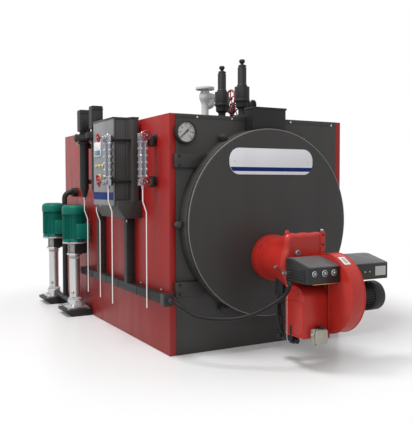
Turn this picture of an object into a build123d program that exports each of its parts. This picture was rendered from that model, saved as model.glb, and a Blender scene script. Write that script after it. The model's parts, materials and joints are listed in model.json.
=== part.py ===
# Packaged fire-tube steam boiler with a front-mounted gas burner, control cabinet,
# water level fittings and two vertical feed pumps.
# Millimetres, +Z up. The origin is on the floor under the middle of the casing.
# -Y is the burner end and -X is the side with the fittings.

import os
from math import cos, radians, sin, tan

from build123d import *

os.makedirs("parts", exist_ok=True)

# Casing
casing_width = 1500.0
casing_length = 2480.0
casing_height = 1680.0
sheet = 8.0
side_return = 50.0

# Smokebox and its door
smokebox_margin = 72.0
smokebox_drop = 87.0
smokebox_depth = 112.0
door_rim = 3.0
door_thickness = 29.0
door_gap = 4.0
door_edge = 8.0

# Lugs round the drum with their bolts, and the rails beside it
clamp_outset = 27.0
clamp_count = 6
clamp_width = 44.0
clamp_seat = 94.0
clamp_length = 50.0
clamp_nut_radius = 17.0
clamp_nut_height = 14.0
rail_depth = 38.0
rail_height = 96.0
upper_rail_rise = 440.0
lower_rail_drop = 449.0
rail_side_gap = 32.0

# Burner: heights are measured from the axis of its neck
burner_offset = -15.0
burner_drop = 247.0
flange_radius = 163.0
flange_length = 75.0
neck_radius = 150.0
neck_length = 288.0
head_width = 300.0
head_length = 50.0
head_rise = 187.0
head_drop = 188.0
scroll_radius = 256.0
scroll_side = 12.0
scroll_width = 106.0
scroll_reach = 232.0
scroll_drop = 180.0
scroll_edge = 7.0
intake_width = 196.0
intake_radius = 95.0
intake_set_back = 74.0
intake_drop = 218.0
intake_bottom_drop = 455.0
control_left_width = 250.0
control_right_width = 292.0
control_length = 229.0
control_gap = 90.0
control_base_drop = 91.0
control_height = 145.0
control_bevel = 52.0
control_bevel_height = 62.0
control_edge = 5.0
motor_radius = 98.0
motor_length = 329.0
motor_drop = 43.0
motor_edge = 18.0
motor_box_width = 96.0
motor_box_height = 84.0
motor_box_reach = 22.0
motor_box_gap = 18.0
actuator_offset = -84.0
actuator_width = 90.0
actuator_height = 92.0
actuator_depth = 64.0
actuator_drop = 438.0
fuel_pump_offset = -103.0
fuel_pump_gap = 68.0
fuel_block_width = 84.0
fuel_block_drop = 228.0
fuel_column_radius = 19.0
fuel_column_drop = 487.0
fuel_pump_radius = 24.0
fuel_pump_length = 130.0

# Flue outlet on top of the smokebox
flue_width = 282.0
flue_length = 112.0
flue_rise = 152.0
flue_wall = 6.0
flue_lip = 6.0
flue_lip_height = 14.0

# Plaque on the door
plaque_width = 718.0
plaque_height = 186.0
plaque_drop = 236.0
plaque_corner = 82.0
plaque_thickness = 5.0

# Pressure gauge on the front plate
gauge_side_gap = 112.0
gauge_drop = 130.0
gauge_radius = 78.0
gauge_depth = 42.0
gauge_bezel = 9.0
gauge_recess = 10.0

# Safety valves on top
front_valve_setting = 267.0
rear_valve_setting = 577.0
safety_valve_height = 472.0
safety_base_radius = 52.0
safety_base_height = 18.0
safety_neck_radius = 30.0
safety_neck_height = 92.0
safety_seat_radius = 50.0
safety_seat_height = 108.0
safety_body_radius = 58.0
safety_body_base = 148.0
safety_body_height = 262.0
safety_bonnet_radius = 34.0
safety_collar_radius = 26.0
safety_collar_drop = 62.0
safety_stem_radius = 12.0
safety_stem_drop = 42.0
safety_cap_radius = 19.0
safety_cap_height = 22.0
safety_outlet_radius = 27.0
safety_outlet_rise = 128.0
safety_outlet_reach = 92.0
safety_flange_radius = 42.0
safety_flange_thickness = 14.0

# Steam stop valve, with its outlet flange on top and its stem to the right
steam_valve_setting = 866.0
steam_flange_rise = 340.0
steam_flange_radius = 80.0
steam_flange_thickness = 20.0
steam_bolt_circle = 120.0
steam_bolt_hole = 7.0
steam_bolt_depth = 20.0
steam_bore = 25.0
steam_bore_depth = 40.0
steam_base_radius = 78.0
steam_neck_radius = 30.0
steam_bulb_radius = 50.0
steam_bulb_drop = 80.0
steam_bulb_height = 88.0
steam_chamber_radius = 38.0
steam_chamber_reach = 50.0
steam_chamber_drop = 58.0
steam_bonnet_radius = 30.0
steam_bonnet_flange = 42.0
steam_bonnet_reach = 128.0
steam_guide_radius = 17.0
steam_guide_reach = 174.0
steam_wheel_reach = 255.0
steam_wheel_radius = 83.0
steam_wheel_rim = 7.0

# Vent valve between the safety valves
vent_setting = 425.0
vent_rise = 95.0
vent_height = 60.0
vent_stem_reach = 40.0
vent_wheel_radius = 50.0
vent_wheel_rim = 5.0
vent_wheel_stem = 22.0

# Control cabinet
cabinet_setting = 475.0
cabinet_length = 511.0
cabinet_reach = 191.0
cabinet_gap = 25.0
cabinet_rise = 10.0
cabinet_height = 619.0
cabinet_sill_height = 51.0
cabinet_taper_height = 80.0
cabinet_foot_reach = 138.0
cabinet_step = 62.0
cabinet_shoulder = 77.0
cabinet_chamfer = 16.0
panel_thickness = 13.0
panel_margin = 2.0
panel_sill_gap = 14.0
display_width = 150.0
display_height = 112.0
display_inset = 106.0
display_drop = 220.0
display_thickness = 6.0

# Cable ducts
duct_depth = 66.0
duct_width = 60.0
duct_level = 375.0
duct_length = 1800.0
front_leg_setting = 625.0
rear_leg_setting = 1271.0
rear_leg_height = 805.0
gland_box_length = 62.0
gland_box_height = 84.0
gland_length = 24.0

# Level gauges: distance out from the casing side, and setting back from its front
gauge_1_out = 102.0
gauge_1_setting = 222.0
gauge_2_out = 257.0
gauge_2_setting = 502.0
gauge_2_turn = 45.0
nozzle_drop = 156.0
nozzle_spacing = 305.0
gauge_cover_width = 52.0
gauge_cover_depth = 37.0
gauge_cover_height = 268.0
gauge_lobe_radius = 13.0
gauge_lobes = 6
gauge_glass_width = 15.0
gauge_glass_margin = 36.0
gauge_glass_depth = 5.0
gauge_column_radius = 15.0
gauge_column_overhang = 36.0
nozzle_radius = 13.0
cock_radius = 23.0
cock_wheel_radius = 34.0
cock_wheel_rim = 5.0
cock_wheel_stem = 52.0
cock_wheel_shift = 9.0
gauge_drain_end = 310.0
drain_radius = 5.5
drain_jog = 28.0
drain_drop = 110.0
drain_slope = 80.0

# Level controllers
controller_out = 150.0
controller_1_setting = 1078.0
controller_2_setting = 1395.0
chamber_radius = 39.0
chamber_end_radius = 16.0
chamber_tail = 129.0
chamber_head_rise = 91.0
chamber_flange_radius = 84.0
chamber_flange_height = 44.0
chamber_neck_radius = 36.0
chamber_neck_height = 34.0
controller_head = 95.0
controller_head_height = 183.0
controller_drain_end = 262.0

# Feed pumps
pump_out = 125.0
pump_1_setting = 1785.0
pump_spacing = 710.0
pump_foot_width = 240.0
pump_foot_length = 280.0
pump_foot_height = 62.0
pump_foot_lip = 24.0
pump_foot_slope = 52.0
pump_base_radius = 84.0
pump_hub_radius = 62.0
pump_port_radius = 24.0
pump_port_level = 108.0
pump_port_reach = 104.0
pump_flange_radius = 40.0
pump_flange_thickness = 16.0
sleeve_radius = 52.0
sleeve_top = 545.0
sleeve_flange_radius = 70.0
sleeve_flange_height = 22.0
stay_circle_radius = 58.0
stay_radius = 5.0
stool_height = 105.0
stool_radius = 58.0
stool_window = 62.0
stool_plate = 16.0
stool_plate_radius = 105.0
shaft_radius = 20.0
guard_width = 96.0
guard_front = 72.0
guard_back = 30.0
pump_motor_radius = 105.0
pump_motor_height = 338.0
fan_cover_radius = 112.0
fan_cover_height = 84.0
fan_cover_edge = 20.0
terminal_box_width = 118.0
terminal_box_depth = 44.0
terminal_box_height = 140.0
terminal_box_rise = 30.0
terminal_box_offset = 42.0

# Feed water line
feed_offset = 305.0
feed_level = 1121.0
feed_radius = 24.0
feed_flange_radius = 43.0
feed_flange_length = 50.0
feed_bend_radius = 60.0

# Rear cover and blowdown
rear_cover_radius = 300.0
rear_cover_level = 880.0
rear_cover_thickness = 26.0
rear_bolt_count = 12
rear_bolt_inset = 28.0
rear_bolt_radius = 15.0
rear_bolt_height = 13.0
blowdown_level = 180.0
blowdown_radius = 24.0
blowdown_length = 170.0
blowdown_flange_radius = 53.0
blowdown_flange_thickness = 16.0

# Flexible conduit from the gland box to the burner
conduit_diameter = 24.0

# Places that follow from the sizes above
side = -casing_width / 2
front = -casing_length / 2
rear = casing_length / 2
smokebox_radius = casing_width / 2 - smokebox_margin
door_height = casing_height - smokebox_drop - smokebox_radius
door_radius = smokebox_radius - door_rim
drum_face = front - smokebox_depth
door_face = drum_face - door_gap - door_thickness
burner_height = door_height - burner_drop
neck_end = door_face - flange_length - neck_length
head_front = neck_end - head_length
scroll_y = neck_end - scroll_reach
scroll_height = burner_height - scroll_drop
scroll_far_side = scroll_side + scroll_width
control_base = burner_height - control_base_drop
control_top = control_base + control_height
cabinet_front = front + cabinet_setting
cabinet_back = cabinet_front + cabinet_length
cabinet_top = casing_height + cabinet_rise
cabinet_waist = cabinet_top - cabinet_height
cabinet_sill = cabinet_waist - cabinet_sill_height
cabinet_foot = cabinet_sill - cabinet_taper_height
cover_side = side - cabinet_reach
duct_top = duct_level + duct_width
upper_nozzle = casing_height - nozzle_drop
lower_nozzle = upper_nozzle - nozzle_spacing
chamber_top = upper_nozzle + chamber_head_rise
chamber_bottom = lower_nozzle - chamber_tail
foot_x = side - pump_out
pump_places = (front + pump_1_setting, front + pump_1_setting + pump_spacing)
controller_x = side - controller_out
controller_places = (front + controller_1_setting, front + controller_2_setting)


def finish(piece, name):
    piece.part.label = name
    export_step(piece.part, f"parts/{name}.step")


def facing_front(y):
    """A plane across the boiler at this depth, seen from the burner end."""
    return Plane.XZ.offset(-y)


def upright(x, y):
    """The plane of a turned profile, with its axis standing at this place."""
    return Plane(origin=(x, y, 0), x_dir=(1, 0, 0), z_dir=(0, -1, 0))


def facing(x, y, z, turn=0.0):
    """A plane that faces the burner end, turned towards the fittings side by this angle."""
    across = cos(radians(turn))
    aside = sin(radians(turn))
    return Plane(origin=(x, y, z), x_dir=(across, -aside, 0), z_dir=(-aside, -across, 0))


def turned(profile, plane, axis):
    """A solid of revolution from (radius, distance along the axis) points."""
    with BuildPart() as body:
        with BuildSketch(plane):
            with BuildLine():
                Polyline([(0, profile[0][1])] + list(profile) + [(0, profile[-1][1])], close=True)
            make_face()
        revolve(axis=axis)
    return body.part


def standing(profile, x, y):
    return turned(profile, upright(x, y), Axis((x, y, 0), (0, 0, 1)))


# Insulated body inside the cladding
with BuildPart() as boiler_body:
    with BuildSketch():
        Rectangle(casing_width - 2 * sheet, casing_length - 2 * sheet)
    extrude(amount=casing_height - sheet)
finish(boiler_body, "boiler_body")

# Side panels, folded round the front and back corners
for name, way in (("side_panel_left", -1), ("side_panel_right", 1)):
    with BuildPart() as side_panel:
        with BuildSketch():
            with Locations((way * (casing_width - side_return) / 2, 0)):
                Rectangle(side_return, casing_length)
            with Locations((way * (casing_width - side_return - 2 * sheet) / 2, 0)):
                Rectangle(side_return, casing_length - 2 * sheet, mode=Mode.SUBTRACT)
        extrude(amount=casing_height)
    finish(side_panel, name)

# Top panel
with BuildPart() as top_panel:
    with BuildSketch(Plane.XY.offset(casing_height - sheet)):
        Rectangle(casing_width - 2 * sheet, casing_length - 2 * sheet)
    extrude(amount=sheet)
finish(top_panel, "top_panel")

# Front and rear plates between the folded corners
for name, middle in (("front_plate", front + sheet / 2), ("rear_plate", rear - sheet / 2)):
    with BuildPart() as end_plate:
        with BuildSketch():
            with Locations((0, middle)):
                Rectangle(casing_width - 2 * side_return, sheet)
        extrude(amount=casing_height)
    finish(end_plate, name)

# Smokebox drum
with BuildPart() as smokebox:
    with BuildSketch(facing_front(front)):
        with Locations((0, door_height)):
            Circle(smokebox_radius)
    extrude(amount=smokebox_depth)
    with BuildSketch(facing_front(drum_face)):
        with Locations((0, door_height)):
            Circle(smokebox_radius - 2 * door_gap)
    extrude(amount=door_gap)
finish(smokebox, "smokebox")

# Door: a thick disc with a bevelled rim
with BuildPart() as smokebox_door:
    with BuildSketch(facing_front(door_face + door_thickness)):
        with Locations((0, door_height)):
            Circle(door_radius)
    extrude(amount=door_thickness)
    chamfer(smokebox_door.faces().sort_by(Axis.Y)[0].edges(), door_edge)
finish(smokebox_door, "smokebox_door")

# Lugs round the drum, each with a bolt's head on its face
clamp_circle = smokebox_radius + clamp_outset
with BuildPart() as door_clamps:
    with BuildSketch(facing_front(drum_face + clamp_seat)):
        with Locations((0, door_height)):
            with PolarLocations(clamp_circle, clamp_count):
                Circle(clamp_width / 2)
            with PolarLocations(clamp_circle - clamp_width / 2, clamp_count):
                Rectangle(clamp_width, clamp_width)
            Circle(smokebox_radius, mode=Mode.SUBTRACT)
    extrude(amount=clamp_length)
    with BuildSketch(facing_front(drum_face + clamp_seat - clamp_length)):
        with Locations((0, door_height)):
            with PolarLocations(clamp_circle, clamp_count):
                RegularPolygon(clamp_nut_radius, 6)
    extrude(amount=clamp_nut_height)
finish(door_clamps, "door_clamps")

# Rails on the front plate, between the fittings side and the drum
with BuildPart() as front_rails:
    for level in (door_height - lower_rail_drop, door_height + upper_rail_rise):
        with BuildSketch(facing_front(front)):
            with Locations(((side + rail_side_gap) / 2, level)):
                Rectangle(-side - rail_side_gap, rail_height)
            with Locations((0, door_height)):
                Circle(smokebox_radius, mode=Mode.SUBTRACT)
        extrude(amount=rail_depth)
finish(front_rails, "front_rails")

# Flue outlet: an open duct that sits on the drum
flue_middle = front - flue_length / 2
flue_top = door_height + smokebox_radius + flue_rise
with BuildPart() as flue_outlet:
    with BuildSketch(Plane.XY.offset(door_height)):
        with Locations((0, flue_middle)):
            Rectangle(flue_width, flue_length)
    extrude(amount=flue_top - door_height)
    with BuildSketch(Plane.XY.offset(flue_top - flue_lip_height)):
        with Locations((0, flue_middle - flue_lip / 2)):
            Rectangle(flue_width + 2 * flue_lip, flue_length + flue_lip)
    extrude(amount=flue_lip_height)
    with BuildSketch(Plane.XY.offset(door_height)):
        with Locations((0, flue_middle)):
            Rectangle(flue_width - 2 * flue_wall, flue_length - 2 * flue_wall)
    extrude(amount=flue_top, mode=Mode.SUBTRACT)
    with BuildSketch(facing_front(0)):
        with Locations((0, door_height)):
            Circle(smokebox_radius)
    extrude(amount=casing_length, mode=Mode.SUBTRACT)
finish(flue_outlet, "flue_outlet")

# Plaque
with BuildPart() as door_plaque:
    with BuildSketch(facing_front(door_face)):
        with Locations((0, door_height + door_radius - plaque_drop)):
            RectangleRounded(plaque_width, plaque_height, plaque_corner)
    extrude(amount=plaque_thickness)
finish(door_plaque, "door_plaque")

# Pressure gauge
gauge_across = side + gauge_side_gap
gauge_level = casing_height - gauge_drop
with BuildPart() as pressure_gauge:
    with BuildSketch(facing_front(front)):
        with Locations((gauge_across, gauge_level)):
            Circle(gauge_radius)
    extrude(amount=gauge_depth)
    with BuildSketch(facing_front(front - gauge_depth)):
        with Locations((gauge_across, gauge_level)):
            Circle(gauge_radius - gauge_bezel)
    extrude(amount=-gauge_recess, mode=Mode.SUBTRACT)
finish(pressure_gauge, "pressure_gauge")

# Fan scroll
scroll_plane = Plane.YZ.offset(scroll_side)
with BuildPart() as burner_scroll:
    with BuildSketch(scroll_plane):
        with Locations((scroll_y, scroll_height)):
            Circle(scroll_radius)
    extrude(amount=scroll_width)
    chamfer(burner_scroll.edges().filter_by(GeomType.CIRCLE), scroll_edge)
with BuildPart() as scroll_space:
    with BuildSketch(scroll_plane):
        with Locations((scroll_y, scroll_height)):
            Circle(scroll_radius)
    extrude(amount=scroll_width)
finish(burner_scroll, "burner_scroll")

# Burner flange on the door, and the neck behind the fan
with BuildPart() as burner_flange:
    with BuildSketch(facing_front(door_face)):
        with Locations((burner_offset, burner_height)):
            Circle(flange_radius)
    extrude(amount=flange_length)
    with BuildSketch(facing_front(door_face - flange_length)):
        with Locations((burner_offset, burner_height)):
            Circle(neck_radius)
    extrude(amount=neck_length)
    add(scroll_space.part, mode=Mode.SUBTRACT)
finish(burner_flange, "burner_flange")

# Burner head: the plate between the neck and the fan
with BuildPart() as burner_head:
    with BuildSketch(facing_front(neck_end)) as head_profile:
        with Locations((0, burner_height + (head_rise - head_drop) / 2)):
            Rectangle(head_width, head_rise + head_drop)
        fillet(head_profile.vertices().group_by(Axis.Y)[0], 90)
        fillet(head_profile.vertices().group_by(Axis.Y)[-1], 26)
    extrude(amount=head_length)
    add(scroll_space.part, mode=Mode.SUBTRACT)
finish(burner_head, "burner_head")

# Air intake beside the scroll, with a round top
intake_y = scroll_y + intake_set_back
intake_centre = burner_height - intake_drop
intake_bottom = burner_height - intake_bottom_drop
with BuildPart() as air_intake:
    with BuildSketch(scroll_plane):
        with Locations((intake_y, intake_centre)):
            Circle(intake_radius)
        with Locations((intake_y, (intake_centre + intake_bottom) / 2)):
            Rectangle(2 * intake_radius, intake_centre - intake_bottom)
    extrude(amount=-intake_width)
finish(air_intake, "air_intake")

# Covers of the burner's controls, one each side of the scroll
control_back = head_front - control_gap
control_front = control_back - control_length
with BuildPart() as burner_controls:
    for start, reach in ((scroll_side, -control_left_width), (scroll_far_side, control_right_width)):
        with BuildSketch(Plane.YZ.offset(start)):
            with BuildLine():
                Polyline(
                    (control_front, control_base),
                    (control_back, control_base),
                    (control_back, control_top),
                    (control_front + control_bevel, control_top),
                    (control_front, control_top - control_bevel_height),
                    close=True,
                )
            make_face()
        extrude(amount=reach)
    chamfer(burner_controls.edges().filter_by(Axis.X), control_edge)
finish(burner_controls, "burner_controls")

# Fan motor
motor_height = scroll_height - motor_drop
with BuildPart() as burner_motor:
    with BuildSketch(Plane.YZ.offset(scroll_far_side)):
        with Locations((scroll_y, motor_height)):
            Circle(motor_radius)
    extrude(amount=motor_length)
    chamfer(burner_motor.faces().sort_by(Axis.X)[-1].edges(), motor_edge)
    with BuildSketch(Plane.YZ.offset(scroll_far_side + motor_box_gap)):
        with Locations((scroll_y - motor_radius, motor_height)):
            Rectangle(2 * motor_box_reach, motor_box_height)
    extrude(amount=motor_box_width)
finish(burner_motor, "burner_motor")

# Air damper actuator in front of the intake
with BuildPart() as burner_actuator:
    with BuildSketch(facing_front(intake_y - intake_radius)):
        with Locations((actuator_offset, burner_height - actuator_drop)):
            Rectangle(actuator_width, actuator_height)
    extrude(amount=actuator_depth)
    chamfer(burner_actuator.edges().filter_by(Axis.Y), 8)
finish(burner_actuator, "burner_actuator")

# Fuel pump with its fittings, hung under the neck
fuel_pump_y = neck_end + fuel_pump_gap
with BuildPart() as fuel_pump:
    with BuildSketch(Plane.XY.offset(burner_height - fuel_block_drop)):
        with Locations((fuel_pump_offset, fuel_pump_y)):
            Rectangle(fuel_block_width, fuel_block_width)
    extrude(amount=fuel_block_drop)
    with BuildSketch(facing_front(fuel_pump_y + fuel_block_width)):
        with Locations((burner_offset, burner_height)):
            Rectangle(3 * neck_radius, 3 * neck_radius)
            Circle(neck_radius, mode=Mode.INTERSECT)
    extrude(amount=2 * fuel_block_width, mode=Mode.SUBTRACT)
    with BuildSketch(Plane.XY.offset(burner_height - fuel_block_drop)):
        with Locations((fuel_pump_offset, fuel_pump_y)):
            Circle(fuel_column_radius)
    extrude(amount=-(fuel_column_drop - fuel_block_drop))
    with BuildSketch(facing_front(fuel_pump_y + fuel_pump_length / 2)):
        with Locations((fuel_pump_offset, burner_height - fuel_column_drop - fuel_pump_radius / 2)):
            Circle(fuel_pump_radius)
    extrude(amount=fuel_pump_length)
finish(fuel_pump, "fuel_pump")

# Safety valves
nozzle_base = casing_height
top = nozzle_base + safety_valve_height
with BuildPart() as safety_valves:
    for y in (front + front_valve_setting, front + rear_valve_setting):
        add(
            standing(
                (
                    (safety_base_radius, nozzle_base),
                    (safety_base_radius, nozzle_base + safety_base_height),
                    (safety_neck_radius, nozzle_base + safety_base_height),
                    (safety_neck_radius, nozzle_base + safety_neck_height),
                    (safety_seat_radius, nozzle_base + safety_seat_height),
                    (safety_seat_radius, nozzle_base + safety_body_base),
                    (safety_body_radius, nozzle_base + safety_body_base),
                    (safety_body_radius, nozzle_base + safety_body_height),
                    (safety_bonnet_radius, nozzle_base + safety_body_height),
                    (safety_bonnet_radius, top - safety_collar_drop),
                    (safety_collar_radius, top - safety_collar_drop),
                    (safety_collar_radius, top - safety_stem_drop),
                    (safety_stem_radius, top - safety_stem_drop),
                    (safety_stem_radius, top - safety_cap_height),
                    (safety_cap_radius, top - safety_cap_height),
                    (safety_cap_radius, top),
                ),
                0,
                y,
            )
        )
        with BuildSketch(Plane.YZ):
            with Locations((y, nozzle_base + safety_outlet_rise)):
                Circle(safety_outlet_radius)
        extrude(amount=safety_outlet_reach)
        with BuildSketch(Plane.YZ.offset(safety_outlet_reach)):
            with Locations((y, nozzle_base + safety_outlet_rise)):
                Circle(safety_flange_radius)
        extrude(amount=safety_flange_thickness)
finish(safety_valves, "safety_valves")

# Steam stop valve
steam_y = front + steam_valve_setting
steam_top = casing_height + steam_flange_rise
bulb_level = steam_top - steam_bulb_drop
bulb_half = steam_bulb_height / 2
with BuildPart() as steam_valve:
    add(
        standing(
            (
                (steam_base_radius, casing_height),
                (steam_base_radius, casing_height + steam_flange_thickness),
                (steam_neck_radius, casing_height + steam_flange_thickness),
                (steam_neck_radius, bulb_level - bulb_half),
                (steam_bulb_radius * 0.85, bulb_level - bulb_half * 0.6),
                (steam_bulb_radius, bulb_level),
                (steam_bulb_radius * 0.85, bulb_level + bulb_half * 0.6),
                (steam_neck_radius, bulb_level + bulb_half),
                (steam_neck_radius, steam_top - steam_flange_thickness),
                (steam_flange_radius, steam_top - steam_flange_thickness),
                (steam_flange_radius, steam_top),
            ),
            0,
            steam_y,
        )
    )
    with Locations((steam_chamber_reach, steam_y, bulb_level - steam_chamber_drop)):
        Sphere(steam_chamber_radius)
    for reach, radius in (
        (steam_bonnet_reach, steam_bonnet_radius),
        (steam_guide_reach, steam_guide_radius),
    ):
        with BuildSketch(Plane.YZ):
            with Locations((steam_y, bulb_level)):
                Circle(radius)
        extrude(amount=reach)
    with BuildSketch(Plane.YZ.offset(steam_bonnet_reach - steam_flange_thickness)):
        with Locations((steam_y, bulb_level)):
            Circle(steam_bonnet_flange)
    extrude(amount=steam_flange_thickness)
    with Locations((0, steam_y, steam_top)):
        Hole(steam_bore, steam_bore_depth)
        with PolarLocations(steam_bolt_circle / 2, 4, start_angle=45):
            Hole(steam_bolt_hole, steam_bolt_depth)
finish(steam_valve, "steam_valve")


def hand_wheel(plane, radius, rim, stem, spokes=4):
    """A spoked wheel that faces along the plane's normal, with its stem behind it."""
    with BuildPart() as wheel:
        with BuildSketch(plane):
            Circle(radius)
            Circle(radius - 2 * rim, mode=Mode.SUBTRACT)
        extrude(amount=rim, both=True)
        chamfer(wheel.edges().filter_by(GeomType.CIRCLE), rim * 0.5)
        with BuildSketch(plane):
            with PolarLocations(radius / 2, spokes):
                Rectangle(radius - rim, rim)
            RegularPolygon(rim * 2, 8)
        extrude(amount=rim / 2, both=True)
        with BuildSketch(plane.offset(-stem)):
            Circle(rim)
        extrude(amount=stem + rim)
    return wheel


wheel_plane = Plane(origin=(steam_wheel_reach, steam_y, bulb_level), x_dir=(0, 1, 0), z_dir=(1, 0, 0))
steam_wheel = hand_wheel(
    wheel_plane, steam_wheel_radius, steam_wheel_rim, steam_wheel_reach - steam_guide_reach
)
finish(steam_wheel, "steam_wheel")

# Vent valve between the safety valves
vent_y = front + vent_setting
vent_level = casing_height + vent_rise
with BuildPart() as vent_valve:
    add(
        standing(
            (
                (26, casing_height),
                (26, casing_height + 14),
                (14, casing_height + 14),
                (14, vent_level - 26),
                (26, vent_level - 16),
                (26, vent_level + 16),
                (14, vent_level + 26),
                (14, vent_level + vent_height),
            ),
            0,
            vent_y,
        )
    )
    with BuildSketch(facing_front(vent_y)):
        with Locations((0, vent_level)):
            Circle(15)
    extrude(amount=vent_stem_reach)
finish(vent_valve, "vent_valve")
vent_plane = facing(0, vent_y - vent_stem_reach - vent_wheel_stem, vent_level)
vent_wheel = hand_wheel(vent_plane, vent_wheel_radius, vent_wheel_rim, vent_wheel_stem)
finish(vent_wheel, "vent_wheel")

# Control cabinet: a deep box, clear of the casing, on a sill that tapers down to the duct
box_back = side - cabinet_gap
with BuildPart() as control_cabinet:
    with BuildSketch(Plane.XY.offset(cabinet_waist)):
        with BuildLine():
            Polyline(
                (box_back, cabinet_front),
                (side - cabinet_shoulder, cabinet_front),
                (side - cabinet_shoulder - cabinet_chamfer, cabinet_front + cabinet_step),
                (cover_side, cabinet_front + cabinet_step),
                (cover_side, cabinet_back),
                (box_back, cabinet_back),
                close=True,
            )
        make_face()
    extrude(amount=cabinet_height)
    with BuildSketch(facing_front(cabinet_back)):
        with BuildLine():
            Polyline(
                (side, cabinet_waist),
                (cover_side, cabinet_waist),
                (cover_side, cabinet_sill),
                (side - cabinet_foot_reach, cabinet_foot),
                (side, cabinet_foot),
                close=True,
            )
        make_face()
    extrude(amount=cabinet_length)
finish(control_cabinet, "control_cabinet")

# Door of the cabinet
panel_front = cabinet_front + cabinet_step
panel_bottom = cabinet_sill + panel_sill_gap
panel_top = cabinet_top - panel_margin
panel_face = cover_side - panel_thickness
with BuildPart() as cabinet_panel:
    with BuildSketch(Plane.YZ.offset(cover_side)):
        with Locations(((panel_front + cabinet_back) / 2, (panel_bottom + panel_top) / 2)):
            Rectangle(cabinet_back - panel_front, panel_top - panel_bottom)
    extrude(amount=-panel_thickness)
    chamfer(cabinet_panel.edges().filter_by(Axis.X), 4)
finish(cabinet_panel, "cabinet_panel")

# Display set on the panel
with BuildPart() as panel_display:
    with BuildSketch(Plane.YZ.offset(panel_face)):
        with Locations((cabinet_back - display_inset, cabinet_top - display_drop)):
            RectangleRounded(display_width, display_height, 8)
    extrude(amount=-display_thickness)
finish(panel_display, "panel_display")

# Cable duct with the two legs that rise from it
with BuildPart() as cable_duct:
    with BuildSketch(Plane.YZ.offset(side)):
        with Locations((front + duct_length / 2, duct_level + duct_width / 2)):
            Rectangle(duct_length, duct_width)
        for setting, leg_top in (
            (front_leg_setting, cabinet_foot),
            (rear_leg_setting, duct_top + rear_leg_height),
        ):
            with Locations((front + setting + duct_width / 2, (duct_level + leg_top) / 2)):
                Rectangle(duct_width, leg_top - duct_level)
    extrude(amount=-duct_depth)
finish(cable_duct, "cable_duct")

# Gland box at the front end of the duct
gland_x = side - duct_depth / 2
gland_z = duct_level + duct_width / 2
with BuildPart() as gland_box:
    with BuildSketch(facing_front(front)):
        with Locations((gland_x, gland_z)):
            RectangleRounded(duct_depth + 10, gland_box_height, 6)
    extrude(amount=gland_box_length)
    with BuildSketch(facing_front(front - gland_box_length)):
        with Locations((gland_x, gland_z)):
            Circle(conduit_diameter * 0.8)
    extrude(amount=gland_length)
finish(gland_box, "gland_box")

# Flexible conduit, hung between the gland box and the burner's left controls
conduit_start = (gland_x, front - gland_box_length - gland_length, gland_z)
conduit_end = (-222, control_back - 20, control_base)
conduit_route = [
    conduit_start,
    (conduit_start[0], conduit_start[1] - 72, gland_z),
    (-722, -1500, 341),
    (-670, -1570, 321),
    (-569, -1660, 317),
    (-484, -1730, 329),
    (-408, -1790, 361),
    (-335, -1845, 411),
    (conduit_end[0], conduit_end[1], control_base - 80),
    conduit_end,
]


def corner_radii(points):
    """The largest radius that each bend's two runs allow, with a short straight left between bends."""
    radii = []
    for before, corner, after in zip(points, points[1:], points[2:]):
        run_in = Vector(*corner) - Vector(*before)
        run_out = Vector(*after) - Vector(*corner)
        free_in = run_in.length * (0.9 if before == points[0] else 0.45)
        free_out = run_out.length * (0.9 if after == points[-1] else 0.45)
        half_turn = radians(run_in.get_angle(run_out) / 2)
        radii.append(min(free_in, free_out) / tan(half_turn))
    return radii


conduit_radii = corner_radii(conduit_route)
print("conduit bend radii", [round(r) for r in conduit_radii])
with BuildPart() as burner_conduit:
    with BuildLine() as conduit_path:
        FilletPolyline(*conduit_route, radius=conduit_radii)
    with BuildSketch(Plane(conduit_path.line @ 0, z_dir=conduit_path.line % 0)):
        Circle(conduit_diameter / 2)
    sweep()
print("conduit length", round(conduit_path.wires()[0].length))
finish(burner_conduit, "burner_conduit")

# Level gauges: a column with a scalloped cover between two cocks
gauges = (
    (side - gauge_1_out, front + gauge_1_setting, 0.0, 0.0, side),
    (side - gauge_2_out, front + gauge_2_setting, gauge_2_turn, 90.0, side - cabinet_shoulder),
)
cover_level = (upper_nozzle + lower_nozzle) / 2
lobe_pitch = (gauge_cover_height - 2 * gauge_lobe_radius) / (gauge_lobes - 1)
for number, (x, y, turn, _, _) in enumerate(gauges, 1):
    with BuildPart() as level_gauge:
        with BuildSketch(facing(x, y, cover_level, turn).offset(-gauge_cover_depth / 2)):
            Rectangle(gauge_cover_width, gauge_cover_height)
            with GridLocations(gauge_cover_width - gauge_lobe_radius, lobe_pitch, 2, gauge_lobes):
                Circle(gauge_lobe_radius)
        extrude(amount=gauge_cover_depth)
        with BuildSketch(facing(x, y, cover_level, turn).offset(gauge_cover_depth / 2)):
            Rectangle(gauge_glass_width, gauge_cover_height - gauge_glass_margin)
        extrude(amount=-gauge_glass_depth, mode=Mode.SUBTRACT)
        for start, end in (
            (lower_nozzle - gauge_column_overhang, cover_level),
            (cover_level, upper_nozzle + gauge_column_overhang),
        ):
            with BuildSketch(Plane.XY.offset(start)):
                with Locations((x, y)):
                    Circle(gauge_column_radius)
            extrude(amount=end - start)
        for level in (lower_nozzle, upper_nozzle):
            with BuildSketch(Plane.XY.offset(level - cock_radius)):
                with Locations((x, y)):
                    RegularPolygon(cock_radius, 8, rotation=22.5)
            extrude(amount=2 * cock_radius)
    finish(level_gauge, f"level_gauge_{number}")

# Branches that carry the gauges: to the casing, and to the cabinet's corner
cock_flat = cock_radius * cos(radians(22.5))
with BuildPart() as gauge_branches:
    for x, y, _, _, end in gauges:
        with BuildSketch(Plane.YZ.offset(x + cock_flat)):
            with Locations((y, lower_nozzle), (y, upper_nozzle)):
                Circle(nozzle_radius)
        extrude(amount=end - x - cock_flat)
    add(control_cabinet.part, mode=Mode.SUBTRACT)
finish(gauge_branches, "gauge_branches")

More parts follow.
